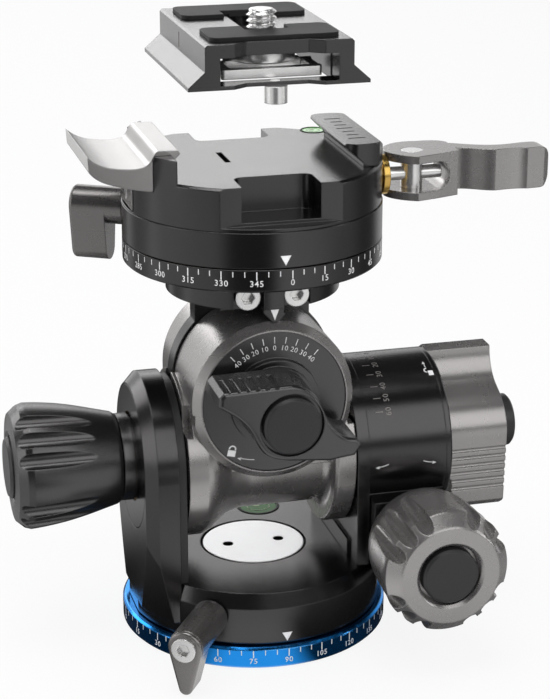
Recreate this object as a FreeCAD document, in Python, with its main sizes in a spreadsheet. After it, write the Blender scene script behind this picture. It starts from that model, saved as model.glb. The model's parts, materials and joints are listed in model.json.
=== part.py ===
import FreeCAD, Part
import math
import os
import re
import Sketcher
from FreeCAD import Rotation, Vector

# A geared tripod head. Origin: centre of the base underside. +Z up, -Y front, +X right.
# Lengths in millimetres, angles in degrees.

# name, value, what it sizes
SIZES = [
    # fits
    ("seat_gap", 0.02, "radial clearance of parts fixed in each other"),
    ("run_gap", 0.05, "clearance of parts that turn or slide in each other"),
    ("air_gap", 0.3, "free space between parts that never touch"),
    # main layout
    ("tilt_z", 40.8, "height of the tilt axis"),
    ("axis_step", 17, "roll axis above the tilt axis"),
    ("roll_z", "=tilt_z + axis_step", "height of the roll axis"),
    # base
    ("base_edge", 1.55, "scale ring beyond the yoke base"),
    ("base_r", "=yoke_r + base_edge", "scale ring radius"),
    ("base_top", 4.9, "top of the scale ring"),
    ("base_chamfer", 0.5, "edge break of the scale ring"),
    ("bush_r", 7.5, "outside of the threaded bush"),
    ("bush_top", 9, "top of the threaded bush"),
    ("tripod_r", 4, "wall of the 3/8 inch thread"),
    ("spindle_r", 16, "pan spindle radius"),
    ("spindle_deep", 8.5, "height of the pan spindle drum"),
    ("shoulder_z", "=base_top + spindle_deep", "top of the pan spindle drum"),
    ("neck_r", 8, "pan spindle neck"),
    ("disc_r", 11.8, "silver retaining disc"),
    ("neck_long", 2, "length of the spindle neck"),
    ("disc_z", "=shoulder_z + neck_long", "underside of the retaining disc"),
    ("disc_edge", 0.4, "edge break of the retaining disc"),
    ("stem_r", 4, "stem of the retaining disc"),
    ("stem_floor", 1.8, "wall between bush and stem bore"),
    ("stem_z", "=bush_top + stem_floor", "bottom of the stem bore"),
    ("spanner_r", 1.2, "spanner hole radius"),
    ("spanner_x", 5.9, "spanner hole offset"),
    ("spanner_depth", 1, "spanner hole depth"),
    ("base_screw_ring", 11.8, "circle of the base screws"),
    ("base_screw_r", 1.5, "base screw shank"),
    ("base_screw_head", 2.8, "base screw head"),
    ("base_screw_sink", 0.4, "head depth below the underside"),
    ("base_screw_cone", 2, "height of the countersunk head"),
    ("base_screw_mouth", "=base_screw_head + base_screw_sink * (base_screw_head - base_screw_r) / (base_screw_cone - base_screw_sink)",
     "mouth of the countersinks"),
    ("base_screw_top", "=bush_top", "tip of the base screws"),
    ("glide_edge", 2, "edge beside the glide rings"),
    ("glide_in", "=spindle_r + glide_edge", "pan glide ring, inside"),
    ("glide_out", "=yoke_r - glide_edge", "pan glide ring, outside"),
    # yoke base
    ("yoke_bottom", "=base_top + air_gap", "underside of the yoke base"),
    ("yoke_edge", 0.45, "yoke base beyond the left arm"),
    ("yoke_r", "=arm_outer + yoke_edge", "yoke base radius"),
    ("floor_slope", 1.05, "slope of the yoke edge"),
    ("floor_r", "=yoke_r - floor_slope", "edge of the floor"),
    ("disc_deep", 1.45, "thickness of the retaining disc"),
    ("floor_z", "=disc_z + disc_deep", "yoke floor"),
    ("level_x", 6, "floor level, sideways"),
    ("level_y", 19, "floor level, back"),
    ("level_r", 5, "floor level radius"),
    ("level_depth", 3, "floor level depth"),
    # left arm
    ("arm_r", 18.8, "half width and top radius of both arms"),
    ("arm_thick", 7.1, "thickness of the left arm"),
    ("arm_outer", "=arm_inner + arm_thick", "outer face of the left arm"),
    ("liner_thick", 1.8, "thickness of the left liner"),
    ("arm_inner", "=liner_in + liner_thick", "inner face of the left arm"),
    ("seat_rise", 2.8, "ledge above the yoke underside"),
    ("arm_seat", "=yoke_bottom + seat_rise", "ledge that carries the arms"),
    ("arm_chamfer", 2.5, "edge break of the outer face"),
    ("foot_cone_step", 1, "foot beyond the arm"),
    ("foot_cone_low", "=arm_outer + foot_cone_step", "cone that trims the foot, at the yoke underside"),
    ("foot_cone_spread", 9, "widening of the foot cone"),
    ("foot_cone_high", "=foot_cone_low + foot_cone_spread", "cone that trims the foot, at its top"),
    ("foot_cone_top", "=tilt_z + arm_r + foot_cone_step", "height where the trimming cone ends"),
    ("liner_gap", 0.5, "space between block and liner"),
    ("liner_in", "=lobe_x + liner_gap", "inner face of the left liner"),
    ("liner_step", 1, "edge round the liner"),
    ("liner_r", "=arm_r - liner_step", "half width and top radius of the liner"),
    ("cover_step", 2.8, "edge round the arm cover"),
    ("cover_r", "=arm_r - cover_step", "round arm cover"),
    ("cover_seam", 0.15, "seam round the cover"),
    ("cover_deep", 1.2, "cover thickness"),
    ("arm_screw_in", 2.3, "arm screws from the arm's inner face"),
    ("arm_screw_x", "=arm_inner + arm_screw_in", "arm screws, sideways"),
    ("arm_screw_y", 7, "arm screws, front and back"),
    ("arm_screw_r", 1.75, "arm screw shank"),
    ("arm_screw_head", 2.9, "arm screw head"),
    ("arm_screw_sink", 1.4, "depth of the arm screw heads"),
    ("arm_screw_seat", "=yoke_bottom + arm_screw_sink", "underside of the ledge recess"),
    ("arm_screw_long", 10, "arm screw above the ledge"),
    ("arm_screw_top", "=arm_seat + arm_screw_long", "tip of the arm screws"),
    # right arm and drum
    ("flange_gap", 0.4, "space between block and right flange"),
    ("flange_in", "=lobe_x + flange_gap", "inner face of the right arm"),
    ("flange_thick", 2.8, "thickness of the right flange"),
    ("flange_out", "=flange_in + flange_thick", "outer face of the right flange"),
    ("foot_step", 0.6, "foot inside the right flange"),
    ("foot_in", "=flange_in - foot_step", "inner edge of the right foot"),
    ("foot_wide", 6.6, "width of the right foot"),
    ("foot_out", "=foot_in + foot_wide", "outer edge of the right foot"),
    ("foot_y", 13, "half width of the right foot"),
    ("drum_step", 0.3, "drum inside the arm's edge"),
    ("drum_r", "=arm_r - drum_step", "tilt drum radius"),
    ("drum_long", 17.8, "length of the tilt drum"),
    ("drum_end", "=flange_out + drum_long", "outer end of the tilt drum"),
    ("drum_cover_thick", 1.4, "thickness of the drum cover"),
    ("drum_cover_end", "=drum_end + drum_cover_thick", "outer face of the drum cover"),
    ("house_step", 0.2, "housing outside the flange"),
    ("house_in", "=flange_out + house_step", "worm housing, inner side"),
    ("house_out", "=drum_end", "worm housing, outer side"),
    ("house_front", 21.9, "worm housing, front"),
    ("house_back", 13, "worm housing, back"),
    ("house_drop", 27.2, "housing bottom below the tilt axis"),
    ("house_bottom", "=tilt_z - house_drop", "worm housing, bottom"),
    ("house_round", 4, "rounding of the worm housing"),
    ("house_shelf", 8, "housing top below the tilt axis"),
    ("house_top", "=tilt_z - house_shelf", "top of the worm housing"),
    ("bearing_wall", 1.7, "wall of the trunnion bushes"),
    ("bearing_r", "=trunnion_r + bearing_wall", "outside of the trunnion bushes"),
    ("bearing_end", "=arm_outer - cover_deep", "outer end of the trunnion bushes"),
    # worm gearing
    ("gear_module", 0.8, "module of both worm pairs"),
    ("gear_teeth", 32, "teeth of both worm wheels"),
    ("gear_width", 6.6, "face width of both worm wheels"),
    ("gear_backlash", 0.16, "tooth play at the pitch line"),
    ("gear_root", 1.0, "root depth in modules plus clearance"),
    ("worm_pitch_r", 4.2, "worm pitch radius"),
    ("worm_half", 6, "half length of the worm thread"),
    ("worm_air", 0.6, "space round the worms"),
    ("worm_room", "=worm_pitch_r + gear_module + worm_air", "bore round the worms"),
    ("wheel_air", 0.7, "space round the worm wheels"),
    ("wheel_room", "=gear_module * (gear_teeth / 2 + 1) + wheel_air", "bore round the worm wheels"),
    ("tilt_wheel_x", "=(wheel_seat_in + wheel_seat_out) / 2", "plane of the tilt wheel"),
    ("shaft_r", 3.2, "worm shafts"),
    ("journal_r", "=worm_room - run_gap", "front journals of the worm shafts"),
    # trunnions
    ("trunnion_r", 9.3, "trunnion radius"),
    ("collar_step", 0.4, "collar beyond the trunnion"),
    ("collar_r", "=trunnion_r + collar_step", "collar of the left trunnion"),
    ("collar_gap", 0.5, "space between arm and collar"),
    ("collar_in", "=arm_outer + collar_gap", "inner side of the collar"),
    ("collar_thick", 2.5, "thickness of the collar"),
    ("collar_out", "=collar_in + collar_thick", "outer side of the collar"),
    ("trunnion_deep", 4.6, "depth of the trunnions in the block"),
    ("trunnion_seat", "=lobe_x - trunnion_deep", "depth of the trunnions in the block"),
    ("wheel_seat_step", 1.3, "shoulder of the wheel seat"),
    ("wheel_seat_r", "=trunnion_r - wheel_seat_step", "seat of the tilt wheel"),
    ("bearing_long", 9.4, "length of the right bush"),
    ("wheel_seat_in", "=flange_in + bearing_long", "inner shoulder of the wheel seat"),
    ("wheel_seat_long", 8, "length of the wheel seat"),
    ("wheel_seat_out", "=wheel_seat_in + wheel_seat_long", "outer shoulder of the wheel seat"),
    ("tail_step", 1.5, "shoulder of the tail"),
    ("tail_r", "=wheel_seat_r - tail_step", "outer tail of the right trunnion"),
    ("bolt_r", 3, "draw bolts of the clutch levers"),
    ("bolt_air", 0.8, "clearance round the draw bolts"),
    ("bolt_room", "=bolt_r + bolt_air", "bores that the draw bolts pass through"),
    # block
    ("lobe_r", 18.8, "side lobes of the block"),
    ("lobe_step", 0.8, "block faces beyond the barrel"),
    ("lobe_x", "=barrel_r + lobe_step", "side faces of the block"),
    ("barrel_r", 17.8, "roll barrel radius"),
    ("lower_front", 15, "front of the block below the barrel"),
    ("boss_reach", 3.3, "barrel beyond the lower block"),
    ("barrel_edge", 0.6, "edge break of the barrel front"),
    ("barrel_front", "=lower_front + boss_reach", "front of the roll barrel"),
    ("slot_back", 5, "back wall of the bracket slot"),
    ("slot_rise", 2.7, "slot bottom above the tilt axis"),
    ("slot_z", "=tilt_z + slot_rise", "bottom of the bracket slot"),
    ("rear_y", 13, "back of the rear housing"),
    ("rear_rise", 9.2, "rear seat above the tilt axis"),
    ("rear_seat", "=tilt_z + rear_rise", "height where the rear housing rests"),
    ("tongue_y", 9, "front of the rear housing tongue"),
    ("tongue_x", 13.4, "half width of the tongue"),
    ("tongue_rise", 4.7, "tongue bottom above the tilt axis"),
    ("tongue_z", "=tilt_z + tongue_rise", "bottom of the tongue"),
    ("rear_screw_x", 9, "rear screws, sideways"),
    ("rear_screw_z", "=(rear_seat + tongue_z) / 2", "rear screws, height"),
    ("small_screw_r", 1.25, "small screw shank"),
    ("small_screw_head", 2.3, "small screw head"),
    ("small_screw_deep", 1.6, "small screw head height"),
    ("small_hex", 1.2, "socket of the small screws"),
    # dial
    ("boss_r", 17.2, "dial boss"),
    ("boss_front", "=barrel_front + boss_chamfer", "front of the dial boss"),
    ("boss_chamfer", 1.1, "bright edge of the boss"),
    ("dial_step", 1.4, "rim round the dial plate"),
    ("dial_r", "=boss_r - dial_step", "dial plate"),
    ("dial_sink", 0.3, "dial face below the rim"),
    ("dial_face", "=boss_front - dial_sink", "face of the dial plate"),
    ("dial_thick", 1.2, "thickness of the dial plate"),
    ("dial_hub_low", 1.2, "first step of the dial hub"),
    ("dial_hub_high", 2.4, "second step of the dial hub"),
    ("dial_back", "=dial_face - dial_thick", "back of the dial plate"),
    ("roll_shaft_r", 6, "roll shaft"),
    ("shaft_end_gap", 0.4, "space behind the roll shaft"),
    ("roll_shaft_back", "=rear_bore_end - shaft_end_gap", "back end of the roll shaft"),
    ("rear_bore_end", 11.4, "end of the rear shaft bore"),
    # roll bracket
    ("band_r", 18.3, "band of the bracket"),
    ("band_in", 14.2, "inside of the band"),
    ("band_room", 0.5, "space round the band"),
    ("band_front", 0.3, "front side of the band"),
    ("band_back", 4.7, "back side of the band"),
    ("web_front", 3.6, "front side of the bracket web"),
    ("band_low", 2.5, "lower edge of the band below the roll axis"),
    ("hub_r", 9, "hub of the bracket"),
    ("bracket_neck_x", 13, "half width of the neck"),
    ("saddle_x", 10, "half width of the saddle"),
    ("saddle_y", 12, "half length of the saddle"),
    ("saddle_drop", 1.7, "saddle below the flange"),
    ("saddle_z", "=flange_z - saddle_drop", "underside of the saddle"),
    ("saddle_gap", 0.4, "space between saddle and barrel"),
    ("flange_r", 19, "bracket flange"),
    ("saddle_wall", 2.5, "flange above the barrel"),
    ("flange_z", "=roll_z + barrel_r + saddle_gap + saddle_wall", "underside of the bracket flange"),
    ("flange_deep", 6.7, "height of the flange"),
    ("ring_z", "=flange_z + flange_deep", "underside of the upper scale ring"),
    ("cut_left", -5.3, "centre of the left flange cut"),
    ("cut_right", 5.3, "centre of the right flange cut"),
    ("cut_half", 3.1, "half width of the flange cuts"),
    ("cut_back", 14.5, "back wall of the flange cuts"),
    ("tab_front", 18.6, "front of the pointer tab"),
    ("tab_back", 15.6, "back of the pointer tab"),
    ("bracket_screw_r", 1.5, "bracket screw shank"),
    ("bracket_screw_head", 2.7, "bracket screw head"),
    ("bracket_screw_deep", 3, "bracket screw head height"),
    ("bracket_screw_len", 7, "bracket screw shank length"),
    ("bracket_screw_rise", 2.5, "bracket screws above the flange"),
    ("bracket_screw_z", "=flange_z + bracket_screw_rise", "height of the bracket screws"),
    ("bracket_hex", 1.45, "socket of the bracket screws"),
    # upper pan
    ("pan_r", 28.2, "upper scale ring and drum"),
    ("ring_deep", 4.9, "height of the upper scale ring"),
    ("ring_top", "=ring_z + ring_deep", "top of the upper scale ring"),
    ("drum_low", "=ring_top + air_gap", "underside of the pan drum"),
    ("drum_deep", 7.5, "height of the pan drum"),
    ("drum_top", "=drum_low + drum_deep", "top of the pan drum"),
    ("post_r", 12, "upper spindle"),
    ("post_head_step", 2, "head beyond the upper spindle"),
    ("post_head_r", "=post_r + post_head_step", "head of the upper spindle"),
    ("post_rise", 2.8, "spindle head above the drum underside"),
    ("post_head_z", "=drum_low + post_rise", "underside of the spindle head"),
    ("post_sink", 1.3, "spindle head below the drum top"),
    ("post_top", "=drum_top - post_sink", "top of the upper spindle"),
    ("upper_glide_out", "=pan_r - glide_edge", "upper glide ring, outside"),
    ("upper_glide_in", "=post_r + glide_edge / 2", "upper glide ring, inside"),
    # clamp
    ("clamp_step", 0.2, "clamp inside the drum edge"),
    ("clamp_r", "=pan_r - clamp_step", "clamp body radius"),
    ("clamp_deep", 9.1, "height of the clamp body"),
    ("bed_z", "=drum_top + clamp_deep", "clamp bed"),
    ("clamp_front", 24.8, "front and back flats"),
    ("recess_x", 8.4, "half width of the end recesses"),
    ("recess_y", 16.6, "inner wall of the end recesses"),
    ("recess_floor", 1.6, "recess floor above the drum"),
    ("recess_z", "=drum_top + recess_floor", "floor of the end recesses"),
    ("recess_round", 2, "rounded corners of the end recesses"),
    ("post_in", 13.8, "inner side of the raised posts"),
    ("post_out", 19, "outer side of the raised posts"),
    ("post_x", 20.4, "right side of the raised posts"),
    ("guide_rise", 4.8, "raised posts above the bed"),
    ("post_z", "=bed_z + guide_rise", "top of the raised posts"),
    ("jaw_bed_x", 20.2, "edge of the bed at the moving jaw"),
    ("jaw_bed_sink", 2.6, "jaw floor below the bed"),
    ("jaw_bed_z", "=bed_z - jaw_bed_sink", "floor below the moving jaw"),
    ("leg_travel", 2.5, "free travel of the jaw leg"),
    ("leg_room_x", "=leg_in - leg_travel", "wall of the jaw leg pocket"),
    ("leg_gap", 0.4, "space round the jaw leg"),
    ("leg_room_y", "=leg_y + leg_gap", "half width of the jaw leg pocket"),
    ("leg_room_z", "=drum_top + air_gap", "floor of the jaw leg pocket"),
    ("rod_r", 1.5, "clamp rod"),
    ("rod_rise", 3.3, "clamp rod above the drum"),
    ("rod_z", "=drum_top + rod_rise", "height of the clamp rod"),
    ("rod_tail", 6.5, "clamp rod beyond the pin"),
    ("rod_end", "=pin_x + rod_tail", "end of the clamp rod"),
    ("slit_x", -6.7, "slit in the bed, sideways"),
    ("slit_w", 1.3, "slit width"),
    ("slit_front", -3.6, "slit, front end"),
    ("slit_len", 9, "slit length"),
    ("slit_deep", 1.5, "slit depth"),
    ("fixed_y", 15, "half length of the fixed jaw"),
    ("jaw_screw_x", 22.6, "fixed jaw screws, sideways"),
    ("jaw_screw_y", 9, "fixed jaw screws, front and back"),
    ("jaw_screw_sink", 0.2, "heads of the fixed jaw screws above the drum"),
    ("jaw_screw_low", "=drum_top + jaw_screw_sink", "underside of the fixed jaw screws"),
    ("jaw_screw_bite", 3.1, "fixed jaw screws in the jaw"),
    ("jaw_screw_top", "=bed_z + jaw_screw_bite", "tip of the fixed jaw screws"),
    ("jaw_in_round", 3, "inner end corners of the fixed jaw"),
    ("jaw_out_round", 6, "outer end corners of the fixed jaw"),
    ("jaw_plan_in", 16.5, "inner side of the fixed jaw's plan"),
    ("jaw_plan_out", 27, "outer side of the fixed jaw's plan"),
    ("jaw_y", 13.5, "half length of the moving jaw"),
    ("leg_y", 6, "half width of the jaw leg"),
    ("leg_thick", 2.8, "thickness of the jaw leg"),
    ("leg_in", "=leg_out - leg_thick", "inner side of the jaw leg"),
    ("leg_out", "=clamp_r - leg_gap", "outer side of the jaw leg"),
    ("leg_low", "=leg_room_z + leg_gap", "bottom of the jaw leg"),
    ("bubble_x", 19.4, "clamp level, sideways"),
    ("bubble_y", 20.4, "clamp level, back"),
    ("bubble_r", 2.9, "clamp level radius"),
    ("bubble_deep", 2.5, "clamp level depth"),
    # clamp lever
    ("washer_gap", 0.4, "space between drum edge and washer"),
    ("washer_hub_r", 3, "hub of the brass washer"),
    ("washer_seat", 1.2, "depth of the washer seat"),
    ("washer_x", "=pan_r + washer_gap", "inner face of the brass washer"),
    ("washer_thick", 1.4, "thickness of the brass washer"),
    ("washer_end", "=washer_x + washer_thick", "outer face of the brass washer"),
    ("washer_r", 4.4, "brass washer"),
    ("cam_gap", 0.1, "play of the open cam"),
    ("pin_x", "=washer_end + cam_nose + cam_gap", "clamp lever pin"),
    ("pin_r", 2.4, "clamp lever pin radius"),
    ("lever_half", 5, "half height of the clamp lever"),
    ("lever_low", "=rod_z - lever_half", "underside of the clamp lever"),
    ("lever_high", "=rod_z + lever_half", "top of the clamp lever"),
    ("blade_step", 0.35, "step between fork and blade"),
    ("blade_round", 2.8, "rounded corners of the blade tip"),
    ("ear_thick", 1.8, "thickness of the fork ears"),
    ("cam_nose", 6, "cam radius when open"),
    ("cam_rise", 2, "cam rise over a quarter turn"),
    ("fork_back", 7.6, "window behind the pin"),
    # end levers
    ("pan_lock_x", -0.545, "pan lock direction, sideways part"),
    ("pan_lock_y", -0.8384, "pan lock direction, front part"),
    ("pan_lock_z", 11.4, "height of the pan lock"),
    ("pan_boss_r", 3.9, "pan lock boss"),
    ("pan_stem_r", 2.9, "pan lock stem"),
    ("pan_shoe_out", 18.2, "outer end of the brake shoe"),
    ("pan_boss_gap", 0.45, "space between yoke and pan lock"),
    ("pan_boss_in", "=yoke_r + pan_boss_gap", "inner end of the boss"),
    ("pan_boss_long", 10.5, "length of the pan lock boss"),
    ("pan_lever_in", "=pan_boss_in + pan_boss_long", "inner side of the lever blade"),
    ("pan_blade_wide", 5.8, "width of the pan lock blade"),
    ("pan_lever_out", "=pan_lever_in + pan_blade_wide", "outer side of the lever blade"),
    ("pan_head_r", 2.7, "pan lock screw head"),
    ("pan_head_deep", 1.4, "pan lock screw head height"),
    ("pan_tip_r", 1.5, "tip rounding of the lever"),
    ("pan_tip_z", 9.4, "drop of the tip centre"),
    ("top_lock_x", -0.866, "top lock direction, sideways part"),
    ("top_lock_y", 0.5, "top lock direction, back part"),
    ("top_lock_rise", 3.6, "top lock above the drum underside"),
    ("top_lock_z", "=drum_low + top_lock_rise", "height of the top lock"),
    ("top_stem_r", 2.4, "top lock stem"),
    ("top_stem_gap", 0.2, "space between spindle and stem"),
    ("top_stem_in", "=post_head_r + top_stem_gap", "inner end of the top lock stem"),
    ("top_knob_r", 4.1, "top lock barrel"),
    ("top_knob_in", "=pan_r + washer_gap", "inner end of the barrel"),
    ("wing_wide", 8.3, "width of the wing"),
    ("top_knob_out", "=wing_in + wing_wide", "outer end of the barrel"),
    ("wing_step", 4, "wing beyond the inner end"),
    ("wing_in", "=top_knob_in + wing_step", "inner side of the wing"),
    ("wing_low", 12.75, "drop of the wing"),
    ("wing_half", 3.2, "half thickness of the wing"),
    # plate
    ("plate_x", 0.45, "plate centre, sideways"),
    ("plate_y", -0.2, "plate centre, front"),
    ("plate_half_y", 21.8, "half length of the plate"),
    ("plate_side", 5.4, "height of the straight sides"),
    ("plate_edge", 0.5, "edge break of the plate top"),
    ("plate_top", "=flare_z + plate_side", "top of the plate"),
    ("plate_float", 14.8, "plate above the clamp guides"),
    ("plate_low", "=post_z + plate_float", "underside of the plate"),
    ("plate_top_x", 15.55, "half width at the top"),
    ("plate_dovetail", 3.5, "width of the dovetail flare"),
    ("plate_low_x", "=plate_top_x + plate_dovetail", "half width at the dovetail foot"),
    ("plate_flare", 3.1, "height of the dovetail flare"),
    ("flare_z", "=foot_z + plate_flare", "start of the dovetail flare"),
    ("plate_foot", 0.7, "height of the dovetail foot"),
    ("foot_z", "=plate_low + plate_foot", "top of the dovetail foot"),
    ("plate_wall", 3.35, "side wall of the plate"),
    ("pocket_x", "=plate_top_x - plate_wall", "half width of the ring pocket"),
    ("plate_end_wall", 4.8, "end wall of the plate"),
    ("pocket_y", "=plate_half_y - plate_end_wall", "half length of the ring pocket"),
    ("plate_roof", 2.8, "roof over the ring pocket"),
    ("pocket_z", "=plate_top - plate_roof", "roof of the ring pocket"),
    ("window_step", 0.2, "window beyond the pocket"),
    ("window_x", "=pocket_x + window_step", "half width of the front window"),
    ("window_sill", 0.8, "sill of the front window"),
    ("window_low", "=plate_low + window_sill", "lower edge of the front window"),
    ("notch_x", 6.5, "half width of the end steps"),
    ("notch_wide", 11, "outer half width of the end steps"),
    ("notch_deep", 2, "depth of the end steps"),
    ("slot_gap", 0.23, "space beside the camera screw"),
    ("slot_x", "=camera_r + slot_gap", "half width of the screw slot"),
    ("slot_y", 8.7, "half travel of the screw slot"),
    ("camera_x", 0.2, "camera screw, sideways"),
    ("camera_y", -7.6, "camera screw, front"),
    ("camera_r", 3.17, "camera screw thread"),
    ("camera_neck_step", 0.47, "thread depth at the neck"),
    ("camera_neck_r", "=camera_r - camera_neck_step", "neck of the camera screw"),
    ("camera_neck_out", 0.9, "neck above the plate"),
    ("camera_thread_low", "=plate_top + camera_neck_out", "start of the camera screw thread"),
    ("camera_thread_long", 3.5, "length of the camera thread"),
    ("camera_top", "=camera_thread_low + camera_thread_long", "tip of the camera screw"),
    ("camera_head_r", 7, "camera screw head"),
    ("camera_head_deep", 2.5, "height of the camera screw head"),
    ("camera_head_low", "=camera_head_top - camera_head_deep", "underside of the camera screw head"),
    ("clip_room", 0.7, "room for the retaining washer"),
    ("camera_head_top", "=pocket_z - clip_room", "top of the camera screw head"),
    ("pad_margin", 1.95, "plate beside the pads"),
    ("pad_x", "=plate_top_x - pad_margin", "half width of the pads"),
    ("pad_thick", 0.8, "height of the pads above the plate"),
    ("pad_sink", 0.6, "depth of the pads in the plate"),
    ("pad_in", 7, "inner edge of the pads"),
    ("pad_end", 3, "plate beyond the pads"),
    ("pad_out", "=plate_half_y - pad_end", "outer edge of the pads"),
    ("pad_round", 2, "rounding of the pads"),
    ("pad_notch_x", 4.7, "half width of the pad notch"),
    ("pad_notch_y", 11.3, "bottom of the pad notch"),
    ("clip_r", 5.4, "retaining washer of the camera screw"),
    ("stop_r", 2.4, "stop pin"),
    ("stop_step", 2.3, "stop pin from the pocket"),
    ("stop_y", "=pocket_y + stop_step", "stop pin, front"),
    ("stop_stem_r", 1.1, "stem of the stop pin"),
    ("stop_stem_step", 1.7, "stop stem from the pocket"),
    ("stop_stem_y", "=pocket_y + stop_stem_step", "stem of the stop pin, front"),
    ("stop_long", 3.6, "length of the stop pin"),
    ("stop_low", "=plate_low - stop_long", "bottom of the stop pin"),
    ("ring_wire", 1, "half thickness of the finger ring"),
    ("ring_side_gap", 1.6, "space beside the finger ring"),
    ("ring_half", "=pocket_x - ring_side_gap", "half width of the finger ring"),
    ("ring_end_gap", 0.4, "space in front of the finger ring"),
    ("ring_front", "=pocket_y - ring_end_gap", "front of the finger ring"),
    ("ring_lift", 1.9, "finger ring above the underside"),
    ("ring_rest_z", "=plate_low + ring_lift", "height of the finger ring"),
    ("eye_r", 1.2, "eyes of the finger ring"),
    ("eye_long", 2.4, "length of the eyes"),
    ("eye_pin_r", 0.6, "pins in the eyes"),
    # clutch levers
    ("roll_clutch_front", 14.2, "front of the roll clutch, from the dial rim"),
    ("roll_clutch_back", 2.6, "back of the roll clutch, from the dial rim"),
    ("roll_cap_seat", 13, "seat of the roll clutch cap, from the dial rim"),
    ("roll_cap_room", 6.9, "bore round the roll clutch cap"),
    ("cap_web", 1, "web under the roll clutch cap"),
    ("clutch_bevel", 0.9, "front edge break of the roll clutch"),
    ("roll_groove_x", -13.3, "first groove of the roll clutch"),
    ("roll_groove_z", 8.75, "groove centres of the roll clutch"),
    ("roll_groove_step", 2.05, "groove spacing of the roll clutch"),
    ("roll_groove_r", 0.6, "groove radius of the roll clutch"),
    ("roll_groove_long", 9.5, "groove length of the roll clutch"),
    ("tilt_clutch_out", 17, "outer limit of the tilt clutch, from the drum cover"),
    ("tilt_cap_seat", 15.3, "seat of the tilt clutch cap, from the drum cover"),
    ("tilt_cap_room", 6.6, "bore round the tilt clutch cap"),
    ("tilt_groove_y", -8.86, "first groove of the tilt clutch, front"),
    ("tilt_groove_z", -3.3, "first groove of the tilt clutch, below the axis"),
    ("tilt_groove_step", 1.88, "groove spacing of the tilt clutch"),
    ("tilt_groove_lean", 0.08, "lean of the grooved face per groove"),
    ("tilt_groove_r", 0.45, "groove radius of the tilt clutch"),
    ("groove_count", 6, "grooves on each clutch lever"),
    # knobs
    ("knob_seat", 18.3, "seat of the tilt knob cap, from the housing"),
    ("roll_knob_seat", 24, "seat of the roll knob cap, from the arm"),
    ("journal_start", 2, "front of the journal, from the housing"),
    ("journal_stop", 9.3, "back of the journal, from the housing"),
    ("tail_sink", 1.2, "worm tail inside the housing"),
    ("worm_back", 11, "depth of the worm bores behind the axis"),
    # fluted knobs
    ("flute_r", 1.75, "flute radius"),
    ("flute_start", 24, "start of the flutes in front of the knob seat"),
    ("flute_long", 20, "length of the flutes"),
    ("tilt_flute_ring", 12.6, "ring of the tilt knob flutes, front"),
    ("tilt_flute_fade", 2.1, "rise of the tilt knob flutes"),
    ("roll_flute_start", 28, "start of the roll knob flutes"),
    ("roll_flute_ring", 14.1, "ring of the roll knob flutes, front"),
    ("roll_flute_fade", -0.75, "fall of the roll knob flutes"),
    ("flute_groups", 4, "groups of flutes round a knob"),
    ("flute_step", 20, "angle between flutes of a group"),
]

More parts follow.
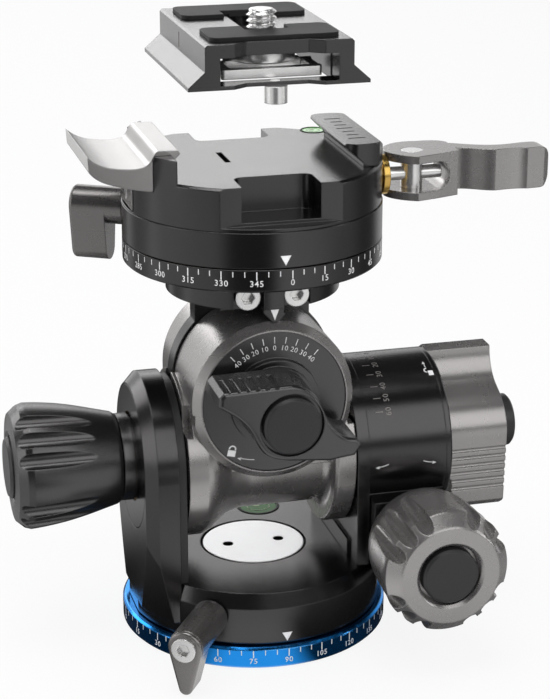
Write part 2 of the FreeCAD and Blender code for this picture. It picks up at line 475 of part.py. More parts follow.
# Outlines: points (u, v) in millimetres. A third entry "c" marks a point of a smooth curve.
OUTLINES = {
    # turned parts: u is the radius, v runs along the axis
    "ring": [("=bush_r + seat_gap", 0), ("=base_r - base_chamfer", 0), ("=base_r", "=base_chamfer"),
             ("=base_r", "=base_top - base_chamfer"), ("=base_r - base_chamfer", "=base_top"),
             ("=bush_r + seat_gap", "=base_top")],
    "spindle": [("=bush_r + seat_gap", "=base_top"), ("=spindle_r", "=base_top"),
                ("=spindle_r", "=shoulder_z"), ("=neck_r", "=shoulder_z"), ("=neck_r", "=disc_z"),
                ("=stem_r + seat_gap", "=disc_z"), ("=stem_r + seat_gap", "=stem_z"), (0, "=stem_z"),
                (0, "=bush_top + air_gap"), ("=bush_r + seat_gap", "=bush_top + air_gap")],
    "disc": [(0, "=stem_z + air_gap"), ("=stem_r", "=stem_z + air_gap"), ("=stem_r", "=disc_z"),
             ("=disc_r", "=disc_z"), ("=disc_r", "=floor_z - disc_edge"),
             ("=disc_r - disc_edge", "=floor_z"), (0, "=floor_z")],
    "base_screw": [(0, "=base_screw_sink"), ("=base_screw_head", "=base_screw_sink"),
                   ("=base_screw_r", "=base_screw_cone"), ("=base_screw_r", "=base_screw_top"),
                   (0, "=base_screw_top")],
    "floor": [("=spindle_r + run_gap", "=yoke_bottom"), ("=yoke_r", "=yoke_bottom"),
              ("=yoke_r", "=shoulder_z"), ("=floor_r", "=floor_z"), ("=disc_r + air_gap", "=floor_z"),
              ("=disc_r + air_gap", "=disc_z - run_gap"), ("=neck_r + run_gap", "=disc_z - run_gap"),
              ("=neck_r + run_gap", "=shoulder_z + run_gap"),
              ("=spindle_r + run_gap", "=shoulder_z + run_gap")],
    "left_trunnion": [("=shaft_r + run_gap", "=-collar_out"), ("=collar_r", "=-collar_out"),
                      ("=collar_r", "=-collar_in"), ("=trunnion_r", "=-collar_in"),
                      ("=trunnion_r", "=-trunnion_seat"), ("=shaft_r + run_gap", "=-trunnion_seat")],
    "right_trunnion": [("=bolt_room", "=trunnion_seat"), ("=trunnion_r", "=trunnion_seat"),
                       ("=trunnion_r", "=wheel_seat_in"), ("=wheel_seat_r", "=wheel_seat_in"),
                       ("=wheel_seat_r", "=wheel_seat_out"), ("=tail_r", "=wheel_seat_out"),
                       ("=tail_r", "=drum_cover_end"), ("=bolt_room", "=drum_cover_end")],
    "dial": [("=bolt_r + air_gap", "=-dial_back"), ("=dial_r", "=-dial_back"), ("=dial_r", "=-dial_face"),
             (9.9, "=-dial_face"), (9.7, "=-dial_face - dial_hub_low"),
             (8.4, "=-dial_face - dial_hub_low"), (8.3, "=-dial_face - dial_hub_high"),
             ("=bolt_r + air_gap", "=-dial_face - dial_hub_high")],
    "roll_shaft": [("=bolt_room", "=-(dial_back - run_gap)"), ("=roll_shaft_r", "=-(dial_back - run_gap)"),
                   ("=roll_shaft_r", "=roll_shaft_back"), (0, "=roll_shaft_back"), (0, "=slot_back"),
                   ("=bolt_room", "=slot_back")],
    "post": [(0, "=ring_z"), ("=post_r", "=ring_z"), ("=post_r", "=post_head_z"),
             ("=post_head_r", "=post_head_z"), ("=post_head_r", "=post_top"), (0, "=post_top")],
    "pan_drum": [("=post_r + run_gap", "=drum_low"), ("=pan_r", "=drum_low"), ("=pan_r", "=drum_top"),
                 ("=post_head_r + air_gap", "=drum_top"), ("=post_head_r + air_gap",
                         "=post_head_z - run_gap"),
                 ("=post_r + run_gap", "=post_head_z - run_gap")],
    "tilt_knob": [("=shaft_r + seat_gap", -0.4), (11.2, -0.4), (12.1, -1.1), (12.9, -4.1, "c"),
                  (13.3, -8.1, "c"), (13.6, -13.1, "c"), (13.9, -17.1, "c"), (13.7, -18.5), (11.3, -21),
                  (10.9, -21.3), (7.6, -21.3), (6.9, -20.7), (6.9, "=-knob_seat"),
                  ("=shaft_r + seat_gap", "=-knob_seat")],
    "tilt_cap": [(0, "=-knob_seat"), (6.2, "=-knob_seat"), (6.2, -21.2), (5.7, -21.7), (0, -21.7)],
    "tilt_shaft": [(0, "=air_gap - house_front - knob_seat"),
                   ("=shaft_r", "=air_gap - house_front - knob_seat"),
                   ("=shaft_r", "=journal_start - house_front"),
                   ("=journal_r", "=journal_start - house_front"),
                   ("=journal_r", "=journal_stop - house_front"),
                   ("=shaft_r", "=journal_stop - house_front"), ("=shaft_r", "=house_back - tail_sink"),
                   (0, "=house_back - tail_sink")],
    "roll_knob": [("=shaft_r + seat_gap", -3.3), (9.8, -3.3), (10.3, -4), (11.6, -9, "c"),
                  (12.8, -14, "c"), (13.6, -19, "c"), (13.95, -23.2), (13.5, -24.6), (11.9, -26.4),
                  (8.2, -26.8), (7.5, -26.2), (7.5, "=-roll_knob_seat"),
                  ("=shaft_r + seat_gap", "=-roll_knob_seat")],
    "roll_cap": [(0, "=-roll_knob_seat"), (6.8, "=-roll_knob_seat"), (6.8, -27), (6.2, -27.6), (0, -27.6)],
    "roll_shaft_worm": [(0, "=air_gap - arm_outer - roll_knob_seat"),
                        ("=shaft_r", "=air_gap - arm_outer - roll_knob_seat"),
                        ("=shaft_r", "=trunnion_seat - air_gap"), (0, "=trunnion_seat - air_gap")],
    "roll_clutch_cap": [(0, "=-roll_cap_seat"), (6.2, "=-roll_cap_seat"), (6.2, -14.8), (5.7, -15.3),
                        (0, -15.3)],
    "tilt_clutch_cap": [(0, "=tilt_cap_seat"), (6, "=tilt_cap_seat"), (6, 19.2), (5.5, 19.7), (0, 19.7)],
    # block lobes and waist: u radius, v along the tilt axis
    "spool": [(0, "=-lobe_x"), ("=lobe_r", "=-lobe_x"), ("=lobe_r", "=0.226 * lobe_x - lobe_x"),
              (18.2, "=-0.677 * lobe_x", "c"), (15.6, "=-0.505 * lobe_x", "c"),
              (14.2, "=-0.344 * lobe_x", "c"), (13.8, "=-0.183 * lobe_x"), (13.8, "=0.667 * lobe_x"),
              (14.2, "=0.731 * lobe_x", "c"), ("=lobe_r - barrel_edge", "=0.753 * lobe_x"),
              ("=lobe_r", "=0.785 * lobe_x"), ("=lobe_r", "=lobe_x"), (0, "=lobe_x")],
    # front clutch lever seen from the front, about the roll axis
    "roll_clutch": [(-15.6, 5.2), (-15.4, 7.3), (-14.4, 8.3), (0, 8.7), (2.6, 7.9, "c"), (4.9, 6.2, "c"),
                    (6.7, 3, "c"), (8.3, -0.4, "c"), (10.4, -3, "c"), (14.2, -4.4), (15.2, -6),
                    (13.8, -8.2), (8.2, -8.9), (0.2, -8.1), (-3, -7.5, "c"), (-5.9, -5.9, "c"),
                    (-7.5, -3.5, "c"), (-9.1, -0.4, "c"), (-11.6, 2.4, "c"), (-13.6, 3.9)],
    # side clutch lever seen from the right, u front to back, v height about the tilt axis
    "tilt_clutch": [(-4.6, -18), (-7, -17.6), (-8.3, -16.2), (-9, 0), (-8.4, 3.2, "c"), (-6.6, 6, "c"),
                    (-3.4, 8.3, "c"), (0.2, 10.2, "c"), (2.6, 13.2, "c"), (3.5, 17), (5.4, 18.2), (7.4, 17),
                    (8.2, 0.6), (7.8, -3.2, "c"), (6, -6.2, "c"), (3.4, -8.4, "c"), (0.2, -10.8, "c"),
                    (-2.2, -14, "c")],
    # side clutch lever seen from the front: u outwards, v height about the tilt axis
    "tilt_clutch_side": [("=air_gap", 18.2), (15.2, 18.2), (16.2, 17.2), (16.4, 0), (16.3, -17),
                         (15.4, -18), (4.6, -18), (3.6, -17), (3.6, -10.4), (2.8, -9.6),
                         ("=air_gap", -9.6)],
    # clamp jaws seen from the front
    "moving_jaw": [(-22.4, "=-jaw_bed_sink"), (-22.4, 1.2), (-18.6, 5), (-19, 5.7), (-23.2, 5.9),
                   (-24.1, 5, "c"), (-25.1, 3.4, "c"), (-27.1, 2.5, "c"), (-30.4, 2.5, "c"),
                   (-33.6, 3, "c"), (-35.7, 3.8, "c"), (-37.9, 5.4), (-37.7, 2.2), (-35.6, 0.3, "c"),
                   (-32, -1.1, "c"), (-28.6, -2, "c"), (-25.2, "=-jaw_bed_sink")],
    "fixed_jaw": [(20.4, 0), (20.4, 0.9), (16.7, 4.5), (17.1, 5), (24.6, 5), ("=clamp_r", 1.8),
                  ("=clamp_r", 0)],
    # clamp lever blade seen from above, about the pin
    "blade": [(8, 0.6), (11, 0.6), (14.5, -0.9, "c"), (17.6, -2.7, "c"), (18.6, -3), (21, -2.7, "c"),
              (24, -2.7, "c"), (26, -3.2), (30, -2.9), (31.6, -1.2), (31.2, 1.2), (27, 2, "c"),
              (21, 1.2, "c"), (15.5, 2.6, "c"), (12, 4.6, "c"), (8.6, 6.5), (8, 6)],
    # clamp lever fork seen from above, about the pin: back edge, then front edge
    "fork": [(6.4, 7.6), (8.8, 6.6), (9.8, 5.2), (9.8, -3), (4.9, -4.7), (-0.2, -6.1), (-3.9, -3.7)],
    # pointer tab seen from the front
    "tab": [(-4.6, 3), (4.6, 3), (3.4, 0), (0.9, -2.9), (-0.5, -2.9), (-3.2, 0)],
    # end view of the plate, half outline mirrored by the builder
    "plate": [("=-plate_low_x", "=plate_low"), ("=-plate_low_x", "=foot_z"), ("=-plate_top_x", "=flare_z"),
              ("=-plate_top_x", "=plate_top - plate_edge"), ("=plate_edge - plate_top_x", "=plate_top"),
              ("=plate_top_x - plate_edge", "=plate_top"), ("=plate_top_x", "=plate_top - plate_edge"),
              ("=plate_top_x", "=flare_z"), ("=plate_low_x", "=foot_z"), ("=plate_low_x", "=plate_low")],
    # step cut in the plate ends, seen from above, u sideways, v from the plate end inwards
    "notch": [("=-notch_wide", -1), ("=notch_wide", -1), ("=notch_x", "=notch_deep"),
              ("=-notch_x", "=notch_deep")],
}

doc = FreeCAD.newDocument("geared_head")
sheet = doc.addObject("Spreadsheet::Sheet", "Sizes")
aliases = set()
nodes = []


def sheet_rows():
    """Every size, then every outline point."""
    rows = list(SIZES)
    for name, points in OUTLINES.items():
        for number, point in enumerate(points):
            rows.append(("%s_%du" % (name, number), point[0], "outline"))
            rows.append(("%s_%dv" % (name, number), point[1], "outline"))
    return rows


def fill_sheet():
    """Name the cells first, then write their values."""
    rows = sheet_rows()
    for number, (alias, value, note) in enumerate(rows, 1):
        sheet.setAlias("B%d" % number, alias)
        aliases.add(alias)
    for number, (alias, value, note) in enumerate(rows, 1):
        sheet.set("A%d" % number, alias)
        sheet.set("B%d" % number, str(value))
        sheet.set("C%d" % number, note)
    doc.recompute()


def size(alias):
    """Number held in the sheet."""
    return float(sheet.get(alias))


def linked(text):
    """Turn bare aliases of an expression into sheet references."""
    def swap(match):
        word = match.group(0)
        return "Sizes." + word if word in aliases else word
    return re.sub(r"[a-z][a-z_0-9]*", swap, text)


def bind(target, prop, text):
    """Tie one property to an expression of sheet sizes."""
    target.setExpression(prop, linked(text))


AXES = {"Z": Rotation(), "X": Rotation(Vector(0, 1, 0), 90), "Y": Rotation(Vector(1, 0, 0), -90)}


def place(item, at, axis):
    """Stand an item on a point, its own Z along the axis."""
    item.Placement = FreeCAD.Placement(Vector(), AXES[axis])
    for letter, text in zip("xyz", at):
        bind(item, "Placement.Base." + letter, text)


def cylinder(name, radius, length, at, axis="Z"):
    item = doc.addObject("Part::Cylinder", name)
    bind(item, "Radius", radius)
    bind(item, "Height", length)
    place(item, at, axis)
    return item


def cone(name, low, high, length, at, axis="Z"):
    item = doc.addObject("Part::Cone", name)
    bind(item, "Radius1", low)
    bind(item, "Radius2", high)
    bind(item, "Height", length)
    place(item, at, axis)
    return item


def box(name, low, high):
    """Box between two corners given as expressions."""
    item = doc.addObject("Part::Box", name)
    for prop, start, end in zip(("Length", "Width", "Height"), low, high):
        bind(item, prop, "(%s) - (%s)" % (end, start))
    place(item, low, "Z")
    return item


def cut(name, base, *tools):
    item = doc.addObject("Part::Cut", name)
    item.Base = base
    item.Tool = tools[0] if len(tools) == 1 else fuse(name + "_tools", *tools)
    return item


def fuse(name, *shapes):
    item = doc.addObject("Part::MultiFuse", name)
    item.Shapes = list(shapes)
    return item


def common(name, *shapes):
    item = doc.addObject("Part::MultiCommon", name)
    item.Shapes = list(shapes)
    return item


def group(name, *shapes):
    """Separate solids that count as one piece."""
    item = doc.addObject("Part::Compound", name)
    item.Links = list(shapes)
    return item


def points_of(name):
    """Outline points as numbers, with the curve mark."""
    found = []
    for number, point in enumerate(OUTLINES[name]):
        curved = len(point) == 3
        found.append((size("%s_%du" % (name, number)), size("%s_%dv" % (name, number)), curved))
    return found


def flat_wire(points, lift):
    """Closed wire: straight runs between plain points, splines through curve points."""
    edges = []
    count = len(points)
    run = [points[0]]
    for step in range(1, count + 1):
        point = points[step % count]
        run.append(point)
        if point[2] and step < count:
            continue
        spots = [lift(u, v) for u, v, mark in run]
        if len(spots) == 2:
            edges.append(Part.makeLine(spots[0], spots[1]))
        else:
            curve = Part.BSplineCurve()
            curve.interpolate(spots)
            edges.append(curve.toShape())
        run = [point]
    return Part.Wire(edges)


def turned_shape(name):
    """Solid of revolution about its own Z."""
    wire = flat_wire(points_of(name), lambda u, v: Vector(u, 0, v))
    return Part.Face(wire).revolve(Vector(), Vector(0, 0, 1), 360)


def extruded_shape(name, lift, along):
    """Straight solid from an outline."""
    return Part.Face(flat_wire(points_of(name), lift)).extrude(along)


def feature(name, shape, at=("0", "0", "0"), axis="Z"):
    """Document object that holds a shape built from sheet sizes."""
    item = doc.addObject("Part::Feature", name)
    item.Shape = shape
    place(item, at, axis)
    return item


def sketch_points(body, plane, name):
    """Sketch with one bound corner per outline point."""
    sketch = body.newObject("Sketcher::SketchObject", name + "_sketch")
    origin = [item for item in body.Origin.OriginFeatures if item.Role == plane][0]
    sketch.AttachmentSupport = [(origin, "")]
    sketch.MapMode = "FlatFace"
    points = points_of(name)
    corners = [Vector(u, v, 0) for u, v, mark in points]
    count = len(corners)
    for number in range(count):
        sketch.addGeometry(Part.LineSegment(corners[number], corners[(number + 1) % count]), False)
    for number in range(count):
        sketch.addConstraint(Sketcher.Constraint("Coincident", number, 2, (number + 1) % count, 1))
    for number, (u, v, mark) in enumerate(points):
        for kind, letter, number_value in (("DistanceX", "u", u), ("DistanceY", "v", v)):
            place_corner(sketch, kind, number, number_value, "%s_%d%s" % (name, number, letter))
    return sketch


def place_corner(sketch, kind, number, value, alias):
    """Hold one coordinate of a corner at its sheet size."""
    if abs(value) < 1e-9:
        on_axis = -2 if kind == "DistanceX" else -1
        sketch.addConstraint(Sketcher.Constraint("PointOnObject", number, 1, on_axis))
        return
    if value > 0:
        index = sketch.addConstraint(Sketcher.Constraint(kind, -1, 1, number, 1, value))
        sketch.setExpression("Constraints[%d]" % index, "Sizes." + alias)
        return
    index = sketch.addConstraint(Sketcher.Constraint(kind, number, 1, -1, 1, -value))
    sketch.setExpression("Constraints[%d]" % index, "-Sizes." + alias)


def turned(label, name, at=("0", "0", "0"), axis="Z"):
    """Part design body turned from a straight-sided outline."""
    body = doc.addObject("PartDesign::Body", label)
    sketch = sketch_points(body, "XZ_Plane", name)
    spin = body.newObject("PartDesign::Revolution", label + "_turning")
    spin.Profile = sketch
    axis_line = [item for item in body.Origin.OriginFeatures if item.Role == "Z_Axis"][0]
    spin.ReferenceAxis = (axis_line, [""])
    spin.Angle = 360
    doc.recompute()
    place(body, at, axis)
    return body


def padded(label, name, plane, length, at=("0", "0", "0")):
    """Part design body extruded both ways from a straight-sided outline."""
    body = doc.addObject("PartDesign::Body", label)
    sketch = sketch_points(body, plane, name)
    pad = body.newObject("PartDesign::Pad", label + "_pad")
    pad.Profile = sketch
    pad.SideType = "Symmetric"
    bind(pad, "Length", length)
    doc.recompute()
    place(body, at, "Z")
    return body


def rounded(name, base, radius, chosen):
    """Fillet of the edges a test picks."""
    doc.recompute()
    item = doc.addObject("Part::Fillet", name)
    item.Base = base
    item.Edges = picked_edges(base, radius, chosen)
    return item


def bevelled(name, base, width, chosen):
    """Chamfer of the edges a test picks."""
    doc.recompute()
    item = doc.addObject("Part::Chamfer", name)
    item.Base = base
    item.Edges = picked_edges(base, width, chosen)
    return item


def picked_edges(base, amount, chosen):
    picked = []
    for number, edge in enumerate(base.Shape.Edges, 1):
        if chosen(edge):
            picked.append((number, size(amount), size(amount)))
    return picked


def on_plane(letter, value):
    """Test for edges that lie in a plane across one axis."""
    def chosen(edge):
        low = getattr(edge.BoundBox, letter + "Min")
        high = getattr(edge.BoundBox, letter + "Max")
        return abs(low - value) < 1e-4 and abs(high - value) < 1e-4
    return chosen


def upright_at(reach_x, reach_y):
    """Test for upright edges at a corner distance from the centre lines."""
    def chosen(edge):
        bounds = edge.BoundBox
        if bounds.XLength > 1e-4 or bounds.YLength > 1e-4:
            return False
        return abs(abs(bounds.XMin) - reach_x) < 1e-3 and abs(abs(bounds.YMin) - reach_y) < 1e-3
    return chosen


def add_node(label, item):
    """Register a finished piece under its file name."""
    item.Label = label
    nodes.append((label, item))
    return item


def spots_on_ring(ring, angles):
    """Positions on a circle as expressions."""
    return [("%s * cos(%s)" % (ring, angle), "%s * sin(%s)" % (ring, angle)) for angle in angles]


# ---------------------------------------------------------------- base

def make_base():
    spots = spots_on_ring("base_screw_ring", ("90", "210", "330"))
    screws = []
    sinks = []
    for number, (x, y) in enumerate(spots):
        screws.append(turned("base_screw_%d" % number, "base_screw", (x, y, "0")))
        sinks.append(cone("screw_sink_%d" % number, "base_screw_mouth + seat_gap", "base_screw_r + seat_gap",
                          "base_screw_cone", (x, y, "0")))
        sinks.append(cylinder("screw_hole_%d" % number, "base_screw_r + seat_gap", "base_screw_top + air_gap",
                              (x, y, "0")))
    holes = fuse("base_screw_holes", *sinks)
    add_node("tripod_base", cut("tripod_base", turned("ring_blank", "ring"), holes))
    add_node("base_spindle", cut("base_spindle", turned("spindle_blank", "spindle"), holes))
    add_node("base_screws", group("base_screws", *screws))
    bush = cylinder("bush_blank", "bush_r", "bush_top", ("0", "0", "0"))
    bore = cylinder("bush_bore", "tripod_r", "bush_top", ("0", "0", "0"))
    add_node("tripod_bush", cut("tripod_bush", bush, bore))
    spanner = [cylinder("spanner_%s" % side, "spanner_r", "spanner_depth + air_gap",
                        ("%s * spanner_x" % sign, "0", "floor_z - spanner_depth"))
               for side, sign in (("left", "-1"), ("right", "1"))]
    add_node("spindle_cap", cut("spindle_cap", turned("disc_blank", "disc"), *spanner))
    outer = cylinder("glide_outer", "glide_out", "air_gap - run_gap", ("0", "0", "base_top"))
    inner = cylinder("glide_inner", "glide_in", "air_gap", ("0", "0", "base_top"))
    add_node("base_glide", cut("base_glide", outer, inner))


# ---------------------------------------------------------------- yoke

def arm_screw_parts(sign, label):
    """Cap screws that hold one arm from below."""
    screws = []
    holes = []
    for number, side in enumerate(("-1", "1")):
        x = "%s * arm_screw_x" % sign
        y = "%s * arm_screw_y" % side
        name = "arm_screw_%s_%d" % (label, number)
        head = cylinder(name + "_head", "arm_screw_head", "arm_screw_seat - yoke_bottom - run_gap",
                        (x, y, "yoke_bottom + run_gap"))
        shank = cylinder(name + "_shank", "arm_screw_r", "arm_screw_top - arm_screw_seat",
                (x, y, "arm_screw_seat"))
        screws.append(fuse(name, head, shank))
        holes.append(cylinder(name + "_sink", "arm_screw_head + seat_gap", "arm_screw_seat - yoke_bottom",
                              (x, y, "yoke_bottom")))
        holes.append(cylinder(name + "_hole", "arm_screw_r + seat_gap",
                              "arm_screw_top + air_gap - yoke_bottom", (x, y, "yoke_bottom")))
    return screws, holes


def radial_placement(item, lock, reach="0"):
    """Local Z points out along the direction of a lock, local Y points up."""
    out = Vector(size(lock + "_x"), size(lock + "_y"), 0).normalize()
    up = Vector(0, 0, 1)
    item.Placement = FreeCAD.Placement(Vector(), Rotation(up.cross(out), up, out, "ZYX"))
    bind(item, "Placement.Base.x", "%s_x * (%s)" % (lock, reach))
    bind(item, "Placement.Base.y", "%s_y * (%s)" % (lock, reach))
    bind(item, "Placement.Base.z", lock + "_z")
    return item


def make_yoke():
    left_screws, left_holes = arm_screw_parts("-1", "left")
    right_screws, right_holes = arm_screw_parts("1", "right")
    holes = fuse("arm_screw_holes", *(left_holes + right_holes))
    add_node("arm_screws", group("arm_screws", *(left_screws + right_screws)))
    notch_left = box("notch_left", ("-yoke_r - 1", "-arm_r - seat_gap", "arm_seat"),
                     ("-arm_inner", "arm_r + seat_gap", "floor_z + air_gap"))
    notch_right = box("notch_right", ("foot_in - seat_gap", "-foot_y - seat_gap", "arm_seat"),
                      ("yoke_r + 1", "foot_y + seat_gap", "floor_z + air_gap"))
    flat = box("left_flat", ("-yoke_r - 1", "-arm_r", "0"), ("-arm_outer", "arm_r", "floor_z + 1"))
    pocket = cylinder("level_pocket", "level_r + seat_gap", "level_depth + 1",
                      ("level_x", "level_y", "floor_z - level_depth"))
    brake_bore = cylinder("brake_bore", "pan_stem_r + run_gap", "yoke_r", ("0", "0", "0"))
    radial_placement(brake_bore, "pan_lock")
    yoke = cut("yoke_base", turned("floor_blank", "floor"), notch_left, notch_right, flat, pocket,
            holes, brake_bore)
    add_node("yoke_base", yoke)
    add_node("floor_level", cylinder("floor_level", "level_r", "level_depth",
                                     ("level_x", "level_y", "floor_z - level_depth")))
    make_left_arm(holes)
    make_right_arm(holes)
    make_bushes()


def make_left_arm(holes):
    slab = box("left_slab", ("-arm_outer", "-arm_r", "arm_seat"), ("-arm_inner", "arm_r", "tilt_z"))
    top = cylinder("left_top", "arm_r", "arm_outer - arm_inner", ("-arm_outer", "0", "tilt_z"), "X")
    blank = fuse("left_blank", slab, top)
    blank.Refine = True
    edge = on_plane("X", -size("arm_outer"))
    floor_edge = size("arm_seat") + 1
    bevel = bevelled("left_bevel", blank, "arm_chamfer",
                     lambda item: edge(item) and item.BoundBox.ZMax > floor_edge)
    trim = cone("left_trim", "foot_cone_low", "foot_cone_high", "foot_cone_top - yoke_bottom",
                ("0", "0", "yoke_bottom"))
    body = common("left_body", bevel, trim)
    bore = cylinder("left_bore", "bearing_r + seat_gap", "arm_outer", ("-arm_outer", "0", "tilt_z"), "X")
    recess = cylinder("cover_recess", "cover_r + cover_seam", "cover_deep",
            ("-arm_outer", "0", "tilt_z"), "X")
    add_node("left_arm", cut("left_arm", body, bore, recess, holes))
    slab = box("liner_slab", ("-arm_inner", "-liner_r", "floor_z"), ("-liner_in", "liner_r", "tilt_z"))
    top = cylinder("liner_top", "liner_r", "arm_inner - liner_in", ("-arm_inner", "0", "tilt_z"), "X")
    add_node("left_liner", cut("left_liner", fuse("liner_blank", slab, top), bore, holes))
    plate = cylinder("cover_blank", "cover_r", "cover_deep", ("-arm_outer", "0", "tilt_z"), "X")
    hole = cylinder("cover_hole", "collar_r + air_gap", "cover_deep", ("-arm_outer", "0", "tilt_z"), "X")
    add_node("left_cover", cut("left_cover", plate, hole))


def make_right_arm(holes):
    slab = box("right_slab", ("flange_in", "-arm_r", "floor_z"), ("flange_out", "arm_r", "tilt_z"))
    top = cylinder("right_top", "arm_r", "flange_out - flange_in", ("flange_in", "0", "tilt_z"), "X")
    drum = cylinder("drum_blank", "drum_r", "drum_end - flange_in", ("flange_in", "0", "tilt_z"), "X")
    house = box("house_blank", ("house_in", "-house_front", "house_bottom"),
            ("house_out", "house_back", "house_top"))
    low = on_plane("Z", size("house_bottom"))
    front = on_plane("Y", -size("house_front"))
    house = rounded("house_round_off", house, "house_round",
                    lambda item: low(item) and item.BoundBox.YLength > 1
                    or front(item) and item.BoundBox.ZLength > 1 and item.BoundBox.XMin > size("house_in") + 1)
    clear = cylinder("house_clear", "yoke_r + air_gap", "floor_z + air_gap", ("0", "0", "0"))
    house = cut("house_trimmed", house, clear)
    foot = box("right_foot", ("foot_in", "-foot_y", "arm_seat"), ("foot_out", "foot_y", "floor_z + 4"))
    body = fuse("right_body", slab, top, drum, house, foot)
    bore = cylinder("right_bore", "bearing_r + seat_gap", "wheel_seat_in",
            ("flange_in - 1", "0", "tilt_z"), "X")
    room = cylinder("wheel_bore", "wheel_room", "drum_end", ("wheel_seat_in", "0", "tilt_z"), "X")
    worm = cylinder("worm_bore", "worm_room", "house_front + worm_back",
                    ("tilt_wheel_x", "-house_front", worm_z()), "Y")
    tail = cylinder("worm_tail_bore", "shaft_r + run_gap", "house_front + house_back",
                    ("tilt_wheel_x", "-house_front", worm_z()), "Y")
    add_node("right_arm", cut("right_arm", body, bore, room, worm, tail, holes))
    ring = cylinder("drum_cover_blank", "drum_r", "drum_cover_end - drum_end",
            ("drum_end", "0", "tilt_z"), "X")
    hole = cylinder("drum_cover_hole", "tail_r + run_gap", "drum_cover_end", ("drum_end", "0", "tilt_z"), "X")
    ring = bevelled("drum_cover_edge", ring, "disc_edge", on_plane("X", size("drum_cover_end")))
    add_node("drum_cover", cut("drum_cover", ring, hole))


def make_bushes():
    rings = []
    for label, start, length in (("left", "-bearing_end", "bearing_end - liner_in"),
                                 ("right", "flange_in", "wheel_seat_in - flange_in")):
        ring = cylinder("bush_%s_out" % label, "bearing_r", length, (start, "0", "tilt_z"), "X")
        hole = cylinder("bush_%s_in" % label, "trunnion_r + run_gap", length, (start, "0", "tilt_z"), "X")
        rings.append(cut("bush_%s" % label, ring, hole))
    add_node("trunnion_bushes", group("trunnion_bushes", *rings))


def make_pan_lock():
    shoe = cylinder("pan_brake", "pan_stem_r", "pan_shoe_out - spindle_r - run_gap", ("0", "0", "0"))
    add_node("pan_brake", radial_placement(shoe, "pan_lock", "spindle_r + run_gap"))
    add_node("pan_lock_lever", radial_placement(feature("pan_lock_lever", pan_lever_shape()), "pan_lock"))
    add_node("pan_lock_screw", radial_placement(feature("pan_lock_screw", pan_screw_shape()), "pan_lock"))


def disc(radius, start, end):
    """Plain cylinder along local Z from numbers."""
    return Part.makeCylinder(radius, end - start, Vector(0, 0, start))


def hex_socket(across, start, end):
    """Six-sided bar along local Z, for sockets."""
    corners = [Vector(across * math.cos(math.radians(60 * k)), across * math.sin(math.radians(60 * k)), start)
               for k in range(7)]
    return Part.Face(Part.makePolygon(corners)).extrude(Vector(0, 0, end - start))


def drop_outline(top_r, tip_r, drop, start, end):
    """Teardrop blade: round head, straight tangents, round tip below."""
    lean = math.asin((top_r - tip_r) / drop)
    side = Vector(math.cos(lean), -math.sin(lean), 0)
    head = [side * top_r, Vector(0, top_r, 0), Vector(-side.x * top_r, side.y * top_r, 0)]
    tip = [side * tip_r, Vector(0, -tip_r, 0), Vector(-side.x * tip_r, side.y * tip_r, 0)]
    low = Vector(0, -drop, 0)
    edges = [Part.Arc(head[0], head[1], head[2]).toShape(),
             Part.makeLine(head[2], tip[2] + low),
             Part.Arc(tip[2] + low, tip[1] + low, tip[0] + low).toShape(),
             Part.makeLine(tip[0] + low, head[0])]
    face = Part.Face(Part.Wire(edges))
    face.translate(Vector(0, 0, start))
    return face.extrude(Vector(0, 0, end - start))


def pan_lever_shape():
    boss = disc(size("pan_boss_r"), size("pan_boss_in"), size("pan_lever_out") - 1)
    blade = drop_outline(size("pan_boss_r") - 0.1, size("pan_tip_r"), size("pan_tip_z"),
                         size("pan_lever_in"), size("pan_lever_out"))
    stem = disc(size("pan_stem_r"), size("pan_shoe_out") + 0.1, size("pan_boss_in") + 1)
    body = boss.fuse([blade, stem]).removeSplitter()
    edges = [edge for edge in body.Edges if abs(edge.BoundBox.ZMin - size("pan_lever_out")) < 1e-4]
    body = body.makeFillet(0.6, edges)
    room = disc(size("pan_head_r") + size("seat_gap"), size("pan_lever_out") - 0.7, size("pan_lever_out") + 1)
    bore = disc(size("rod_r") + size("seat_gap"), size("pan_lever_in") - 6, size("pan_lever_out") + 1)
    return body.cut([room, bore])


def pan_screw_shape():
    seat = size("pan_lever_out") - 0.7
    head = disc(size("pan_head_r"), seat, seat + size("pan_head_deep"))
    shank = disc(size("rod_r"), size("pan_lever_in") - 5, seat)
    socket = hex_socket(size("bracket_hex"), seat + 0.4, seat + 3)
    return head.fuse(shank).cut(socket)


# ---------------------------------------------------------------- gearing

def worm_z():
    """Height of the tilt worm: one centre distance below the wheel."""
    return "tilt_z - worm_pitch_r - gear_module * gear_teeth / 2"


def worm_thread(half, mesh):
    """Single-start trapezoid thread about local Z; it crosses the mesh angle half way along."""
    module = size("gear_module")
    lead = math.pi * module
    pitch_r = size("worm_pitch_r")
    slope = math.tan(math.radians(20))
    half_pitch = lead / 4 - size("gear_backlash") / 4
    top = pitch_r + module
    root = size("shaft_r") - 0.15
    wide = half_pitch + (pitch_r - root) * slope
    slim = half_pitch - module * slope
    helix = Part.makeHelix(lead, 2 * half, pitch_r)
    corners = [Vector(root, 0, -wide), Vector(top, 0, -slim), Vector(top, 0, slim), Vector(root, 0, wide)]
    profile = Part.makePolygon(corners + corners[:1])
    thread = Part.Wire(helix.Edges).makePipeShell([profile], True, True)
    thread.translate(Vector(0, 0, -half))
    thread.rotate(Vector(), Vector(0, 0, 1), mesh - 360 * half / lead)
    return thread.common(disc(top + 1, -half, half))


